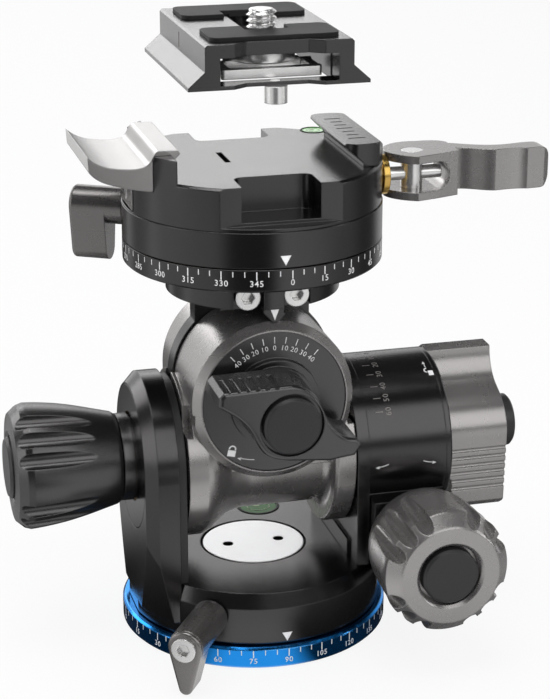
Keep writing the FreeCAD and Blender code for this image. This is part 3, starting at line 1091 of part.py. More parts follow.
def wheel_profile(turn, z):
    """Closed polygon of the wheel teeth at one height."""
    module = size("gear_module")
    teeth = int(size("gear_teeth"))
    pitch_r = module * teeth / 2
    outer = pitch_r + module
    root = pitch_r - module - 0.2
    slope = math.tan(math.radians(20))
    half = math.pi * module / 4 - size("gear_backlash") / 4
    low = (half + (pitch_r - root) * slope) / root
    mid = half / pitch_r
    high = (half - module * slope * 1.05) / outer
    corners = []
    for tooth in range(teeth):
        middle = turn + 2 * math.pi * tooth / teeth
        for radius, angle in ((root, -low), (pitch_r, -mid), (outer, -high), (outer, high),
                (pitch_r, mid), (root, low)):
            corners.append(Vector(radius * math.cos(middle + angle), radius * math.sin(middle + angle), z))
    return Part.makePolygon(corners + corners[:1])


def wheel_shape(bore_r):
    """Worm wheel about local Z, one gash of a tooth at local +X."""
    half = size("gear_width") / 2
    lead_angle = size("gear_module") / (2 * size("worm_pitch_r"))
    twist = half * lead_angle / (size("gear_module") * size("gear_teeth") / 2)
    start = math.pi / size("gear_teeth")
    solid = Part.makeLoft([wheel_profile(start - twist, -half), wheel_profile(start + twist, half)],
            True, True)
    return solid.cut(disc(bore_r, -half - 1, half + 1))


def make_tilt_gear():
    wheel = feature("tilt_wheel", wheel_shape(size("wheel_seat_r") + size("seat_gap")),
                    ("tilt_wheel_x", "0", "tilt_z"), "X")
    add_node("tilt_wheel", wheel)
    shaft = turned_shape("tilt_shaft")
    shape = shaft.fuse(worm_thread(size("worm_half"), 270))
    add_node("tilt_worm", feature("tilt_worm", shape, ("tilt_wheel_x", "0", worm_z()), "Y"))


def fluted(name, start, ring, fade):
    """Turned knob with groups of three long flutes, open at the front, fading towards the rear."""
    body = turned_shape(name)
    near = Vector(ring, 0, -start)
    line = Vector(fade, 0, size("flute_long"))
    groups = int(size("flute_groups"))
    cutters = []
    for number in range(groups):
        for step in (-1, 0, 1):
            cutter = Part.makeCylinder(size("flute_r"), line.Length, near, line)
            cutter.rotate(Vector(), Vector(0, 0, 1),
                    360.0 * (number + 0.5) / groups + step * size("flute_step"))
            cutters.append(cutter)
    return body.cut(cutters)


def make_knobs():
    at = ("tilt_wheel_x", "-house_front", worm_z())
    knob = fluted("tilt_knob", size("flute_start"), size("tilt_flute_ring"), size("tilt_flute_fade"))
    add_node("tilt_knob", feature("tilt_knob", knob, at, "Y"))
    add_node("tilt_knob_cap", turned("tilt_knob_cap", "tilt_cap", at, "Y"))
    at = ("-arm_outer", "0", "tilt_z")
    knob = fluted("roll_knob", size("roll_flute_start"), size("roll_flute_ring"), size("roll_flute_fade"))
    add_node("roll_knob", feature("roll_knob", knob, at, "X"))
    add_node("roll_knob_cap", turned("roll_knob_cap", "roll_cap", at, "X"))


# ---------------------------------------------------------------- block

def make_block():
    spool = feature("spool_blank", turned_shape("spool"), ("0", "0", "tilt_z"), "X")
    front = cylinder("barrel_front_half", "barrel_r", "barrel_front", ("0", "-barrel_front", "roll_z"), "Y")
    front = bevelled("barrel_front_edge", front, "barrel_edge", on_plane("Y", -size("barrel_front")))
    lower = box("block_lower", ("-barrel_r", "-lower_front", "tilt_z"), ("barrel_r", "0", "roll_z"))
    back = box("block_back", ("-tongue_x", "0", "tilt_z"), ("tongue_x", "tongue_y", "rear_seat"))
    boss = cylinder("boss_blank", "boss_r", "boss_front - lower_front", ("0", "-boss_front", "roll_z"), "Y")
    boss = bevelled("boss_edge", boss, "boss_chamfer", on_plane("Y", -size("boss_front")))
    blank = fuse("block_blank", spool, front, lower, back, boss)
    slot = box("bracket_slot", ("-lobe_x - 1", "0", "slot_z"), ("lobe_x + 1", "slot_back", "roll_z + 30"))
    tongue = box("tongue_pocket", ("-tongue_x", "tongue_y", "tongue_z"), ("tongue_x", "lobe_r + 1", "roll_z"))
    dial = cylinder("dial_recess", "dial_r + seat_gap", "boss_front - dial_back",
            ("0", "-boss_front", "roll_z"), "Y")
    shaft = cylinder("roll_bore", "roll_shaft_r + run_gap", "boss_front + rear_bore_end",
                     ("0", "-boss_front", "roll_z"), "Y")
    wheel = cylinder("roll_wheel_bore", "wheel_room", "gear_width / 2 + air_gap",
                     ("0", "-gear_width / 2 - air_gap", "roll_z"), "Y")
    worm = cylinder("roll_worm_bore", "worm_room", "trunnion_seat + worm_back",
            ("-trunnion_seat - run_gap", "0", "tilt_z"), "X")
    tail = cylinder("roll_tail_bore", "shaft_r + run_gap", "trunnion_seat", ("0", "0", "tilt_z"), "X")
    left = cylinder("left_seat", "trunnion_r + seat_gap", "lobe_x - trunnion_seat + 1",
            ("-lobe_x - 1", "0", "tilt_z"), "X")
    right = cylinder("right_seat", "trunnion_r + seat_gap", "lobe_x - trunnion_seat + 1",
            ("trunnion_seat", "0", "tilt_z"), "X")
    screws, holes = rear_screw_parts()
    facets = side_facets()
    block = cut("tilt_block", blank, slot, tongue, dial, shaft, wheel, worm, tail, left, right, holes, facets)
    add_node("tilt_block", block)
    rear = cylinder("rear_round", "barrel_r", "rear_y - slot_back", ("0", "slot_back", "roll_z"), "Y")
    low = box("rear_low", ("-barrel_r", "slot_back", "rear_seat"), ("barrel_r", "rear_y", "roll_z"))
    lip = box("rear_tongue", ("-tongue_x", "tongue_y", "tongue_z"), ("tongue_x", "rear_y", "rear_seat"))
    rear_bore = cylinder("rear_bore", "roll_shaft_r + run_gap", "rear_bore_end - slot_back",
            ("0", "slot_back", "roll_z"), "Y")
    rear_body = fuse("rear_blank", rear, low, lip)
    rear_body = bevelled("rear_edge", rear_body, "base_chamfer",
                         lambda edge: abs(edge.BoundBox.YMin - size("rear_y")) < 1e-4 and edge.BoundBox.ZMax > size("roll_z") + 9)
    rear_body = cut("rear_trimmed_left", rear_body, spool_room("spool_room_left", -1))
    rear_body = cut("rear_trimmed_right", rear_body, spool_room("spool_room_right", 1))
    add_node("roll_rear_housing", cut("roll_rear_housing", rear_body, rear_bore, holes))
    add_node("rear_screws", screws)
    add_node("dial_plate", turned("dial_plate", "dial", ("0", "0", "roll_z"), "Y"))
    for name in ("left_trunnion", "right_trunnion"):
        solid = turned(name + "_blank", name, ("0", "0", "tilt_z"), "X")
        relief = cylinder(name + "_relief", "band_r + band_room", "slot_back", ("0", "0", "roll_z"), "Y")
        add_node(name, cut(name, solid, relief))


def spool_room(name, shift):
    """Space for the spool, a seat gap larger round the axis and shifted along it."""
    gap = size("seat_gap")
    points = [(u + gap if u > 0 else u, v + shift * gap, mark) for u, v, mark in points_of("spool")]
    solid = Part.Face(flat_wire(points, lambda u, v: Vector(u, 0, v))).revolve(Vector(), Vector(0, 0, 1), 360)
    return feature(name, solid, ("0", "0", "tilt_z"), "X")


def side_facets():
    """Flat faces milled beside the dial boss."""
    left = box("facet_left", ("-barrel_r - 1", "-barrel_front - 1", "rear_seat"),
            ("0.6 - barrel_r", "-11", "roll_z - 2"))
    right = box("facet_right", ("barrel_r - 0.6", "-barrel_front - 1", "rear_seat"),
            ("barrel_r + 1", "-11", "roll_z - 2"))
    return fuse("side_facets", left, right)


def rear_screw_parts():
    screws = []
    holes = []
    for number, side in enumerate(("-1", "1")):
        at = ("%s * rear_screw_x" % side, "slot_back + air_gap", "rear_screw_z")
        seat = (at[0], "rear_y - small_screw_deep", at[2])
        name = "rear_screw_%d" % number
        shank = cylinder(name + "_shank", "small_screw_r",
                "rear_y - small_screw_deep - slot_back - air_gap", at, "Y")
        head = cylinder(name + "_head", "small_screw_head", "small_screw_deep", seat, "Y")
        socket = feature(name + "_socket", hex_socket(size("small_hex"), 0.8, 3), seat, "Y")
        screws.append(cut(name, fuse(name + "_blank", shank, head), socket))
        holes.append(cylinder(name + "_hole", "small_screw_r + seat_gap", "rear_y", at, "Y"))
        holes.append(cylinder(name + "_sink", "small_screw_head + seat_gap", "rear_y", seat, "Y"))
    return group("rear_screws", *screws), fuse("rear_screw_holes", *holes)


def make_roll_gear():
    wheel = feature("roll_wheel", wheel_shape(size("roll_shaft_r") + size("seat_gap")),
                    ("0", "0", "roll_z"), "Y")
    add_node("roll_wheel", wheel)
    shaft = turned_shape("roll_shaft_worm")
    shape = shaft.fuse(worm_thread(size("worm_half"), 180))
    add_node("roll_worm", feature("roll_worm", shape, ("0", "0", "tilt_z"), "X"))
    add_node("roll_shaft", turned("roll_shaft", "roll_shaft", ("0", "0", "roll_z"), "Y"))


# ---------------------------------------------------------------- clutch levers

def across(name, letter, start, end):
    """Extrude an outline along X or Y between two stations."""
    if letter == "Y":
        return extruded_shape(name, lambda u, v: Vector(u, start, v), Vector(0, end - start, 0))
    return extruded_shape(name, lambda u, v: Vector(start, u, v), Vector(end - start, 0, 0))


def soft(solid, radius, chosen):
    """Round the chosen edges of a lever."""
    edges = [edge for edge in solid.Edges if chosen(edge)]
    return solid.makeFillet(radius, edges)


def grooves(spot, step, radius, length, axis):
    """Row of round grooves, each one step further."""
    return [Part.makeCylinder(radius, length, spot + step * number,
            axis) for number in range(int(size("groove_count")))]


def make_roll_clutch():
    at = ("0", "-boss_front", "roll_z")
    axis = Vector(0, 1, 0)
    front = -size("roll_clutch_front")
    lever = across("roll_clutch", "Y", front, -size("roll_clutch_back"))
    on_front = on_plane("Y", front)
    lever = soft(lever, size("clutch_bevel"), on_front)
    ribs = grooves(Vector(size("roll_groove_x"), front - 1, size("roll_groove_z")),
                   Vector(size("roll_groove_step"), 0,
                           0), size("roll_groove_r"), size("roll_groove_long"), axis)
    seat = Vector(0, -size("roll_cap_seat"), 0)
    room = Part.makeCylinder(size("roll_cap_room"), size("roll_clutch_front"), Vector(0, front - 1, 0), axis)
    room = room.common(Part.makeBox(40, 1 - front - size("roll_cap_seat"), 40, Vector(-20, front - 1, -20)))
    bolt = Part.makeCylinder(size("bolt_r") + size("seat_gap"), size("roll_clutch_front"), seat, axis)
    lever = lever.cut(ribs + [room, bolt])
    add_node("roll_clutch", feature("roll_clutch", lever, at))
    add_node("roll_clutch_cap", turned("roll_clutch_cap", "roll_clutch_cap", at, "Y"))
    add_node("roll_draw_bolt", cylinder("roll_draw_bolt", "bolt_r",
            "boss_front + roll_cap_seat - air_gap + slot_back - cap_web",
                                        ("0", "air_gap - boss_front - roll_cap_seat", "roll_z"), "Y"))


def make_tilt_clutch():
    at = ("drum_cover_end", "0", "tilt_z")
    axis = Vector(1, 0, 0)
    outline = across("tilt_clutch", "X", size("air_gap"), size("tilt_clutch_out"))
    wide = size("lobe_r")
    lever = outline.common(across("tilt_clutch_side", "Y", -wide, wide))
    ribs = grooves(Vector(0, size("tilt_groove_y"), size("tilt_groove_z")),
                   Vector(0, size("tilt_groove_lean"), -size("tilt_groove_step")), size("tilt_groove_r"),
                   size("tilt_clutch_out"), axis)
    seat = Vector(size("tilt_cap_seat"), 0, 0)
    room = Part.makeCylinder(size("tilt_cap_room"), size("bolt_r"), seat, axis)
    bolt = Part.makeCylinder(size("bolt_r") + size("seat_gap"), size("tilt_cap_seat"), Vector(), axis)
    add_node("tilt_clutch", feature("tilt_clutch", lever.cut(ribs + [room, bolt]), at))
    add_node("tilt_clutch_cap", turned("tilt_clutch_cap", "tilt_clutch_cap", at, "X"))
    add_node("tilt_draw_bolt", cylinder("tilt_draw_bolt", "bolt_r",
            "drum_cover_end + tilt_cap_seat - air_gap - lobe_x",
                                        ("lobe_x", "0", "tilt_z"), "X"))


# ---------------------------------------------------------------- roll bracket and upper pan

def make_bracket():
    band = cylinder("band_outer", "band_r", "band_back - band_front", ("0", "band_front", "roll_z"), "Y")
    hollow = cylinder("band_hollow", "band_in", "web_front - band_front", ("0", "band_front", "roll_z"), "Y")
    low = box("band_low_cut", ("-band_r - 1", "0", "roll_z - 30"),
            ("band_r + 1", "slot_back", "roll_z - band_low"))
    band = cut("band_half", band, hollow, low)
    hub = cylinder("bracket_hub", "hub_r", "band_back - web_front", ("0", "web_front", "roll_z"), "Y")
    neck = box("bracket_neck", ("-bracket_neck_x", "band_front", "roll_z + 10"),
            ("bracket_neck_x", "band_back", "flange_z + 1"))
    hollow_again = cylinder("neck_hollow", "band_in", "web_front - band_front",
            ("0", "band_front", "roll_z"), "Y")
    neck = cut("neck_cut", neck, hollow_again)
    saddle = box("saddle_blank", ("-saddle_x", "-saddle_y", "saddle_z"),
            ("saddle_x", "saddle_y", "flange_z + 1"))
    clear = cylinder("saddle_clear", "barrel_r + saddle_gap", "60", ("0", "-30", "roll_z"), "Y")
    saddle = cut("saddle", saddle, clear)
    flange = cylinder("flange_blank", "flange_r", "ring_z - flange_z", ("0", "0", "flange_z"))
    cuts = [box("flange_cut_%s" % label, ("cut_%s - cut_half" % label, "-flange_r - 1", "flange_z - 1"),
                ("cut_%s + cut_half" % label, "-cut_back", "ring_z - 0.8"))
            for label in ("left", "right")]
    tab = padded("tab_blank", "tab", "XZ_Plane", "tab_front - tab_back",
            ("camera_x", "-(tab_front + tab_back) / 2", "flange_z"))
    body = fuse("bracket_blank", band, hub, neck, saddle, flange, tab)
    bore = cylinder("bracket_bore", "roll_shaft_r + seat_gap", "slot_back", ("0", "0", "roll_z"), "Y")
    screws, holes = bracket_screw_parts()
    add_node("roll_bracket", cut("roll_bracket", body, bore, holes, *cuts))
    add_node("bracket_screws", screws)


def bracket_screw_parts():
    screws = []
    holes = []
    for label in ("left", "right"):
        name = "bracket_screw_" + label
        x = "cut_" + label
        at = (x, "-cut_back - bracket_screw_deep", "bracket_screw_z")
        head = cylinder(name + "_head", "bracket_screw_head", "bracket_screw_deep", at, "Y")
        shank = cylinder(name + "_shank", "bracket_screw_r", "bracket_screw_len",
                (x, "-cut_back", "bracket_screw_z"), "Y")
        socket = feature(name + "_socket", hex_socket(size("bracket_hex"), -1, 1.6), at, "Y")
        screws.append(cut(name, fuse(name + "_blank", head, shank), socket))
        holes.append(cylinder(name + "_hole", "bracket_screw_r + seat_gap", "bracket_screw_len + air_gap",
                              (x, "-cut_back", "bracket_screw_z"), "Y"))
    return group("bracket_screws", *screws), fuse("bracket_screw_holes", *holes)


def make_upper_pan():
    ring = cylinder("scale_blank", "pan_r", "ring_top - ring_z", ("0", "0", "ring_z"))
    ring = bevelled("scale_edge", ring, "disc_edge", on_plane("Z", size("ring_z")))
    bore = cylinder("scale_bore", "post_r + seat_gap", "ring_top - ring_z", ("0", "0", "ring_z"))
    add_node("top_scale_ring", cut("top_scale_ring", ring, bore))
    add_node("top_spindle", turned("top_spindle", "post"))
    outer = cylinder("upper_glide_blank", "upper_glide_out", "air_gap - run_gap", ("0", "0", "ring_top"))
    inner = cylinder("upper_glide_bore", "upper_glide_in", "air_gap", ("0", "0", "ring_top"))
    add_node("top_glide", cut("top_glide", outer, inner))
    stem = cylinder("top_lock_bore", "top_stem_r + run_gap", "pan_r", ("0", "0", "0"))
    radial_placement(stem, "top_lock")
    add_node("pan_drum", cut("pan_drum", turned("pan_drum_blank", "pan_drum"), stem))
    lock = radial_placement(feature("top_lock_knob", top_lock_shape()), "top_lock")
    add_node("top_lock_knob", lock)


def top_lock_shape():
    """Barrel with a wing that hangs down, stem inwards."""
    barrel = disc(size("top_knob_r"), size("top_knob_in"), size("top_knob_out"))
    stem = disc(size("top_stem_r"), size("top_stem_in"), size("top_knob_in") + 1)
    wing = drop_outline(size("top_knob_r"), size("wing_half") - 0.4, size("wing_low") - size("wing_half"),
                        size("wing_in"), size("top_knob_out"))
    body = barrel.fuse([stem, wing]).removeSplitter()
    end = size("top_knob_out")
    edges = [edge for edge in body.Edges if abs(edge.BoundBox.ZMin - end) < 1e-4]
    return body.makeFillet(0.8, edges)


# ---------------------------------------------------------------- clamp

def make_clamp():
    body = cylinder("clamp_blank", "clamp_r", "bed_z - drum_top", ("0", "0", "drum_top"))
    body = bevelled("clamp_edge", body, "base_chamfer", on_plane("Z", size("bed_z")))
    posts = clamp_posts()
    blank = fuse("clamp_with_posts", body, posts)
    tools = end_recesses()
    tools.append(box("jaw_bed", ("-clamp_r - 12", "-post_in", "jaw_bed_z"),
            ("-jaw_bed_x", "post_in", "post_z + 1")))
    tools.append(box("leg_room", ("-clamp_r - 1", "-leg_room_y", "leg_room_z"),
            ("-leg_room_x", "leg_room_y", "bed_z")))
    tools.append(cylinder("rod_bore", "rod_r + run_gap", "2 * clamp_r", ("-clamp_r", "0", "rod_z"), "X"))
    tools.append(box("bed_slit", ("slit_x", "slit_front", "bed_z - slit_deep"),
            ("slit_x + slit_w", "slit_front + slit_len", "bed_z + 1")))
    tools.append(box("jaw_seat", ("clamp_r - washer_seat", "-washer_r - washer_seat", "drum_top - 1"),
                     ("clamp_r + washer_seat", "washer_r + washer_seat", "rod_z + washer_r + washer_seat")))
    tools.append(cylinder("bubble_pocket", "bubble_r + seat_gap", "bubble_deep + 1",
            ("bubble_x", "bubble_y", "bed_z - bubble_deep"), "Z"))
    screws, holes = jaw_screw_parts()
    tools.append(holes)
    add_node("clamp_body", cut("clamp_body", blank, *tools))
    add_node("jaw_screws", screws)
    add_node("clamp_level", cylinder("clamp_level", "bubble_r", "bubble_deep",
            ("bubble_x", "bubble_y", "bed_z - bubble_deep"), "Z"))
    fixed = padded("fixed_jaw_blank", "fixed_jaw", "XZ_Plane", "2 * fixed_y", ("0", "0", "bed_z"))
    keep = cylinder("fixed_jaw_round", "clamp_r", "20", ("0", "0", "bed_z"))
    plan = box("fixed_jaw_plan", ("jaw_plan_in", "-fixed_y", "bed_z - 1"), ("jaw_plan_out", "fixed_y", "post_z + 2"))
    middle = (size("jaw_plan_in") + size("jaw_plan_out")) / 2
    plan = rounded("jaw_plan_inner", plan, "jaw_in_round", lambda edge: upright(edge) and edge.BoundBox.XMax < middle)
    plan = rounded("jaw_plan_outer", plan, "jaw_out_round", lambda edge: upright(edge) and edge.BoundBox.XMin > middle
                   and abs(edge.BoundBox.YMin) > size("fixed_y") - 1e-3)
    add_node("fixed_jaw", cut("fixed_jaw", common("fixed_jaw_body", fixed, keep, plan), holes))
    jaw = across("moving_jaw", "Y", -size("jaw_y"), size("jaw_y"))
    leg = box("jaw_leg", ("-leg_out", "-leg_y", "leg_low"), ("-leg_in", "leg_y", "jaw_bed_z + 2"))
    hole = cylinder("jaw_rod_hole", "rod_r + seat_gap", "10", ("-leg_out - 1", "0", "rod_z"), "X")
    add_node("moving_jaw", cut("moving_jaw", fuse("moving_jaw_blank", feature("moving_jaw_top", jaw, ("0", "0", "bed_z")), leg), hole))
    hub = cylinder("washer_hub", "washer_hub_r", "washer_end - clamp_r + washer_seat",
            ("clamp_r - washer_seat", "0", "rod_z"), "X")
    rim = cylinder("washer_rim", "washer_r", "washer_end - washer_x", ("washer_x", "0", "rod_z"), "X")
    washer = fuse("washer_blank", hub, rim)
    hole = cylinder("washer_hole", "rod_r + run_gap", "washer_end",
            ("clamp_r - 2 * washer_seat", "0", "rod_z"), "X")
    add_node("clamp_washer", cut("clamp_washer", washer, hole))


def clamp_posts():
    """Two guides that stand up on both sides of the moving jaw."""
    sides = []
    for label, low, high in (("front", "-post_out", "-post_in"), ("back", "post_in", "post_out")):
        sides.append(box("post_%s" % label, ("-clamp_r", low, "bed_z - 2"), ("-post_x", high, "post_z")))
    keep = cylinder("post_round", "clamp_r", "20", ("0", "0", "bed_z - 3"))
    return common("clamp_posts", fuse("post_boxes", *sides), keep)


def end_recesses():
    """Flats and notches at the front and the back of the clamp."""
    tools = []
    for label, sign in (("front", "-1"), ("back", "1")):
        edges = sorted(("clamp_front", "clamp_r + 1"), reverse=sign == "-1")
        low, high = ["%s * (%s)" % (sign, edge) for edge in edges]
        tools.append(box("flat_" + label, ("-clamp_r", low, "drum_top + 0.8"),
                ("clamp_r", high, "bed_z + 6")))
        edges = sorted(("recess_y", "clamp_r"),
                key=("clamp_r", "recess_y").index if sign == "-1" else ("recess_y", "clamp_r").index)
        low, high = ["%s * (%s)" % (sign, edge) for edge in edges]
        block = box("recess_box_" + label, ("-recess_x", low, "recess_z"), ("recess_x", high, "bed_z + 6"))
        tools.append(rounded("recess_" + label, block, "recess_round",
                upright_at(size("recess_x"), size("recess_y"))))
    return tools


def jaw_screw_parts():
    screws = []
    holes = []
    for number, side in enumerate(("-1", "1")):
        name = "jaw_screw_%d" % number
        x = "jaw_screw_x"
        y = "%s * jaw_screw_y" % side
        shank = cylinder(name + "_shank", "small_screw_r", "jaw_screw_top - jaw_screw_low", (x, y, "jaw_screw_low"))
        head = cylinder(name + "_head", "small_screw_head", "small_screw_deep", (x, y, "jaw_screw_low"))
        socket = feature(name + "_socket", hex_socket(size("small_hex"), -1, 0.9), (x, y, "jaw_screw_low"))
        screws.append(cut(name, fuse(name + "_blank", shank, head), socket))
        holes.append(cylinder(name + "_hole", "small_screw_r + seat_gap", "jaw_screw_top - drum_top + 2 * air_gap",
                              (x, y, "drum_top - air_gap")))
        holes.append(cylinder(name + "_sink", "small_screw_head + seat_gap",
                              "jaw_screw_sink + small_screw_deep + air_gap", (x, y, "drum_top - air_gap")))
    return group("jaw_screws", *screws), fuse("jaw_screw_holes", *holes)


def make_lever():
    rod = cylinder("clamp_rod_bar", "rod_r", "rod_end + leg_out", ("-leg_out", "0", "rod_z"), "X")
    pin = cylinder("pin_blank", "pin_r", "lever_high - lever_low", ("pin_x", "0", "lever_low"))
    add_node("clamp_rod", fuse("clamp_rod", rod, pin))
    add_node("clamp_lever", feature("clamp_lever", lever_shape(), ("pin_x", "0", "0")))


def cam_points():
    """Cam outline about the pin: its reach grows evenly with the turn."""
    nose = size("cam_nose")
    growth = size("cam_rise") / (math.pi / 2)
    found = []
    for step in range(-1, 9):
        turn = math.pi / 2 * step / 6
        reach = nose + growth * max(turn, 0)
        slope = growth if turn > 0 else 0
        heading = math.pi - turn
        found.append(Vector(reach * math.cos(heading) + slope * math.sin(heading),
                            reach * math.sin(heading) - slope * math.cos(heading), 0))
    return found


def fork_face():
    """Outline of the fork from above: cam nose, back edge, end and front edge."""
    cam = cam_points()
    spots = [Vector(u, v, 0) for u, v, mark in points_of("fork")]
    nose = Part.BSplineCurve()
    nose.interpolate(spots[5:] + cam[1:9])
    back = Part.BSplineCurve()
    back.interpolate([cam[8]] + spots[:3])
    edges = [nose.toShape(), back.toShape()]
    for near, far in zip(spots[2:5], spots[3:6]):
        edges.append(Part.makeLine(near, far))
    return Part.Face(Part.Wire(edges))


def end_rounded(solid, reach, radius):
    """Round the two corners of a bar end, seen from the front."""
    edges = [edge for edge in solid.Edges if abs(edge.BoundBox.XMin - reach) < 1e-4 and edge.BoundBox.YLength > 1]
    return solid.makeFillet(radius, edges)


def lever_shape():
    """Fork with a cam nose and a curved blade, about the pin."""
    low = size("lever_low")
    high = size("lever_high")
    face = fork_face()
    face.translate(Vector(0, 0, low))
    fork = face.extrude(Vector(0, 0, high - low))
    step = size("blade_step")
    blade = extruded_shape("blade", lambda u, v: Vector(u, v, low + step),
            Vector(0, 0, high - low - 2 * step))
    tip = size("blade_9u")
    keep = Part.makeBox(tip, 40, high - low - 2 * step, Vector(0, -20, low + step))
    blade = blade.common(end_rounded(keep, tip, size("blade_round")))
    ear = size("ear_thick")
    room = high - low - 2 * ear
    window = Part.makeBox(size("fork_back") + 12, 40, room, Vector(-12, -20, low + ear))
    window = end_rounded(window, size("fork_back"), room / 2 - step)
    bore = Part.makeCylinder(size("pin_r") + size("run_gap"), high - low + 2, Vector(0, 0, low - 1))
    return fork.cut([window, bore]).fuse(blade).cut(bore)


# ---------------------------------------------------------------- plate

def make_plate():
    body = padded("plate_blank", "plate", "XZ_Plane", "2 * plate_half_y", ("plate_x", "plate_y", "0"))
    tools = [plate_notch("front", 1), plate_notch("back", -1)]
    tools.append(box("ring_pocket", ("plate_x - pocket_x", "plate_y - pocket_y", "plate_low - 1"),
                     ("plate_x + pocket_x", "plate_y + pocket_y", "pocket_z")))
    tools.append(box("front_window", ("plate_x - window_x", "plate_y - plate_half_y - 1", "window_low"),
                     ("plate_x + window_x", "plate_y - pocket_y + 1", "pocket_z")))
    tools.append(screw_slot())
    for label, pad in pad_boxes("seat_gap", "pad_sink"):
        tools.append(pad)
    tools.append(cylinder("stop_hole", "stop_stem_r + seat_gap", "5",
            ("camera_x", "-stop_stem_y", "plate_low - 1")))
    add_node("qr_plate", cut("qr_plate", body, *tools))
    pads = [pad for label, pad in pad_boxes("0", "pad_sink")]
    add_node("plate_pads", group("plate_pads", *pads))
    pin = cylinder("stop_pin", "stop_r", "plate_low - stop_low", ("camera_x", "-stop_y", "stop_low"))
    stem = cylinder("stop_stem", "stop_stem_r", "window_low - plate_low",
            ("camera_x", "-stop_stem_y", "plate_low"))
    add_node("plate_stop", fuse("plate_stop", pin, stem))
    make_camera_screw()


def make_camera_screw():
    """Slotted camera screw with a lug and two pins for the finger ring."""
    at = ("camera_x", "camera_y", "camera_head_top")
    neck = cylinder("camera_neck", "camera_neck_r", "camera_thread_low - camera_head_top", at)
    shank = cylinder("camera_shank", "camera_r", "camera_top - camera_thread_low",
                     ("camera_x", "camera_y", "camera_thread_low"))
    shank = bevelled("camera_tip", shank, "disc_edge", on_plane("Z", size("camera_top")))
    low = ("camera_x", "camera_y", "camera_head_low")
    head = cylinder("camera_head", "camera_head_r", "camera_head_top - camera_head_low", low)
    reach = "ring_half - eye_long - run_gap"
    lug = box("camera_lug", ("camera_x - (%s)" % reach, "camera_y - eye_r", "ring_rest_z - eye_r + 0.2"),
              ("camera_x + %s" % reach, "camera_y + eye_r", "camera_head_low"))
    pin = cylinder("camera_pin", "eye_pin_r", "2 * ring_half - 0.6",
                   ("camera_x - ring_half + 0.3", "camera_y", "ring_rest_z"), "X")
    add_node("camera_screw", fuse("camera_screw", neck, shank, head, lug, pin))
    ring = cylinder("clip_blank", "clip_r", "pocket_z - camera_head_top - 2 * run_gap",
                    ("camera_x", "camera_y", "camera_head_top + run_gap"))
    hole = cylinder("clip_hole", "camera_neck_r + run_gap", "5", at)
    add_node("camera_clip", cut("camera_clip", ring, hole))


def plate_notch(label, sign):
    """Shallow step in one end face of the plate."""
    top = size("plate_top") + 1
    low = size("plate_low") - 1
    end = size("plate_half_y")
    shape = extruded_shape("notch", lambda u, v: Vector(u, sign * (v - end), low), Vector(0, 0, top - low))
    return feature("plate_notch_" + label, shape, ("plate_x", "plate_y", "0"))


def screw_slot():
    """Long hole that lets the camera screw slide."""
    middle = box("slot_middle", ("camera_x - slot_x", "-slot_y", "pocket_z - 1"),
            ("camera_x + slot_x", "slot_y", "plate_top + 1"))
    ends = [cylinder("slot_end_" + label, "slot_x", "plate_top + 2 - pocket_z",
            ("camera_x", y, "pocket_z - 1"))
            for label, y in (("front", "-slot_y"), ("back", "slot_y"))]
    return fuse("screw_slot", middle, *ends)


def pad_boxes(grow, sink):
    """Two rubber pads with a notch that clears the camera screw."""
    pads = []
    for label, sign in (("front", -1), ("back", 1)):
        near, far = "pad_in - %s" % grow, "pad_out + %s" % grow
        low, high = (near, far) if sign == 1 else ("-(%s)" % far, "-(%s)" % near)
        name = "pad_%s_%s" % (label, "seat" if grow != "0" else "body")
        pad = box(name + "_box", ("plate_x - pad_x - %s" % grow, low, "plate_top - %s" % sink),
                  ("plate_x + pad_x + %s" % grow, high, "plate_top + pad_thick"))
        pad = rounded(name + "_round", pad, "pad_round", upright)
        near, far = "pad_in - 1", "pad_notch_y - %s" % grow
        low, high = (near, far) if sign == 1 else ("-(%s)" % far, "-(%s)" % near)
        notch = box(name + "_notch", ("plate_x - pad_notch_x + %s" % grow, low, "plate_top - 3"),
                    ("plate_x + pad_notch_x - %s" % grow, high, "plate_top + 3"))
        pads.append((label, cut(name, pad, notch)))
    return pads


def upright(edge):
    """Test for an edge that runs along Z."""
    return edge.BoundBox.XLength < 1e-4 and edge.BoundBox.YLength < 1e-4


def make_ring():
    """Finger ring folded into the pocket: a front bar, two legs and two eyes."""
    wire = size("ring_wire")
    half = size("ring_half")
    front = -size("ring_front")
    hinge = size("camera_y")
    z = size("ring_rest_z")
    x = size("camera_x")
    long = size("eye_long")
    parts = [Part.makeBox(2 * half, 2 * wire, 2 * wire, Vector(x - half, front, z - wire))]
    bores = []
    for start in (x - half, x + half - long):
        parts.append(Part.makeBox(long - 0.6, hinge - front, 2 * wire, Vector(start + 0.3, front, z - wire)))
        parts.append(Part.makeCylinder(size("eye_r"), long, Vector(start, hinge, z), Vector(1, 0, 0)))
        bores.append(Part.makeCylinder(size("eye_pin_r") + size("run_gap"), long + 2,
                Vector(start - 1, hinge, z),
                                       Vector(1, 0, 0)))
    ring = parts[0].fuse(parts[1:]).removeSplitter()
    ring = ring.makeFillet(0.6, [edge for edge in ring.Edges if upright_corner(edge, x, half, front)])
    add_node("d_ring", feature("d_ring", ring.cut(bores)))


def upright_corner(edge, middle, half, front):
    """Test for the two outer front corners of the finger ring."""
    bounds = edge.BoundBox
    if bounds.XLength > 1e-4 or bounds.YLength > 1e-4:
        return False
    return abs(bounds.YMin - front) < 1e-3 and abs(abs(bounds.XMin - middle) - half) < 1e-3


# ---------------------------------------------------------------- build and check

def check(label, item):
    """Stop on a piece that is not sound."""
    shape = item.Shape
    bad = [state for state in item.State if state in ("Invalid", "Error")]
    if bad or shape.isNull() or not shape.isValid() or not shape.Solids:
        raise ValueError("%s is not a sound solid: %s %d solids" % (label, bad, len(shape.Solids)))
    print("%-18s %2d solids %10.1f mm3" % (label, len(shape.Solids), shape.Volume))


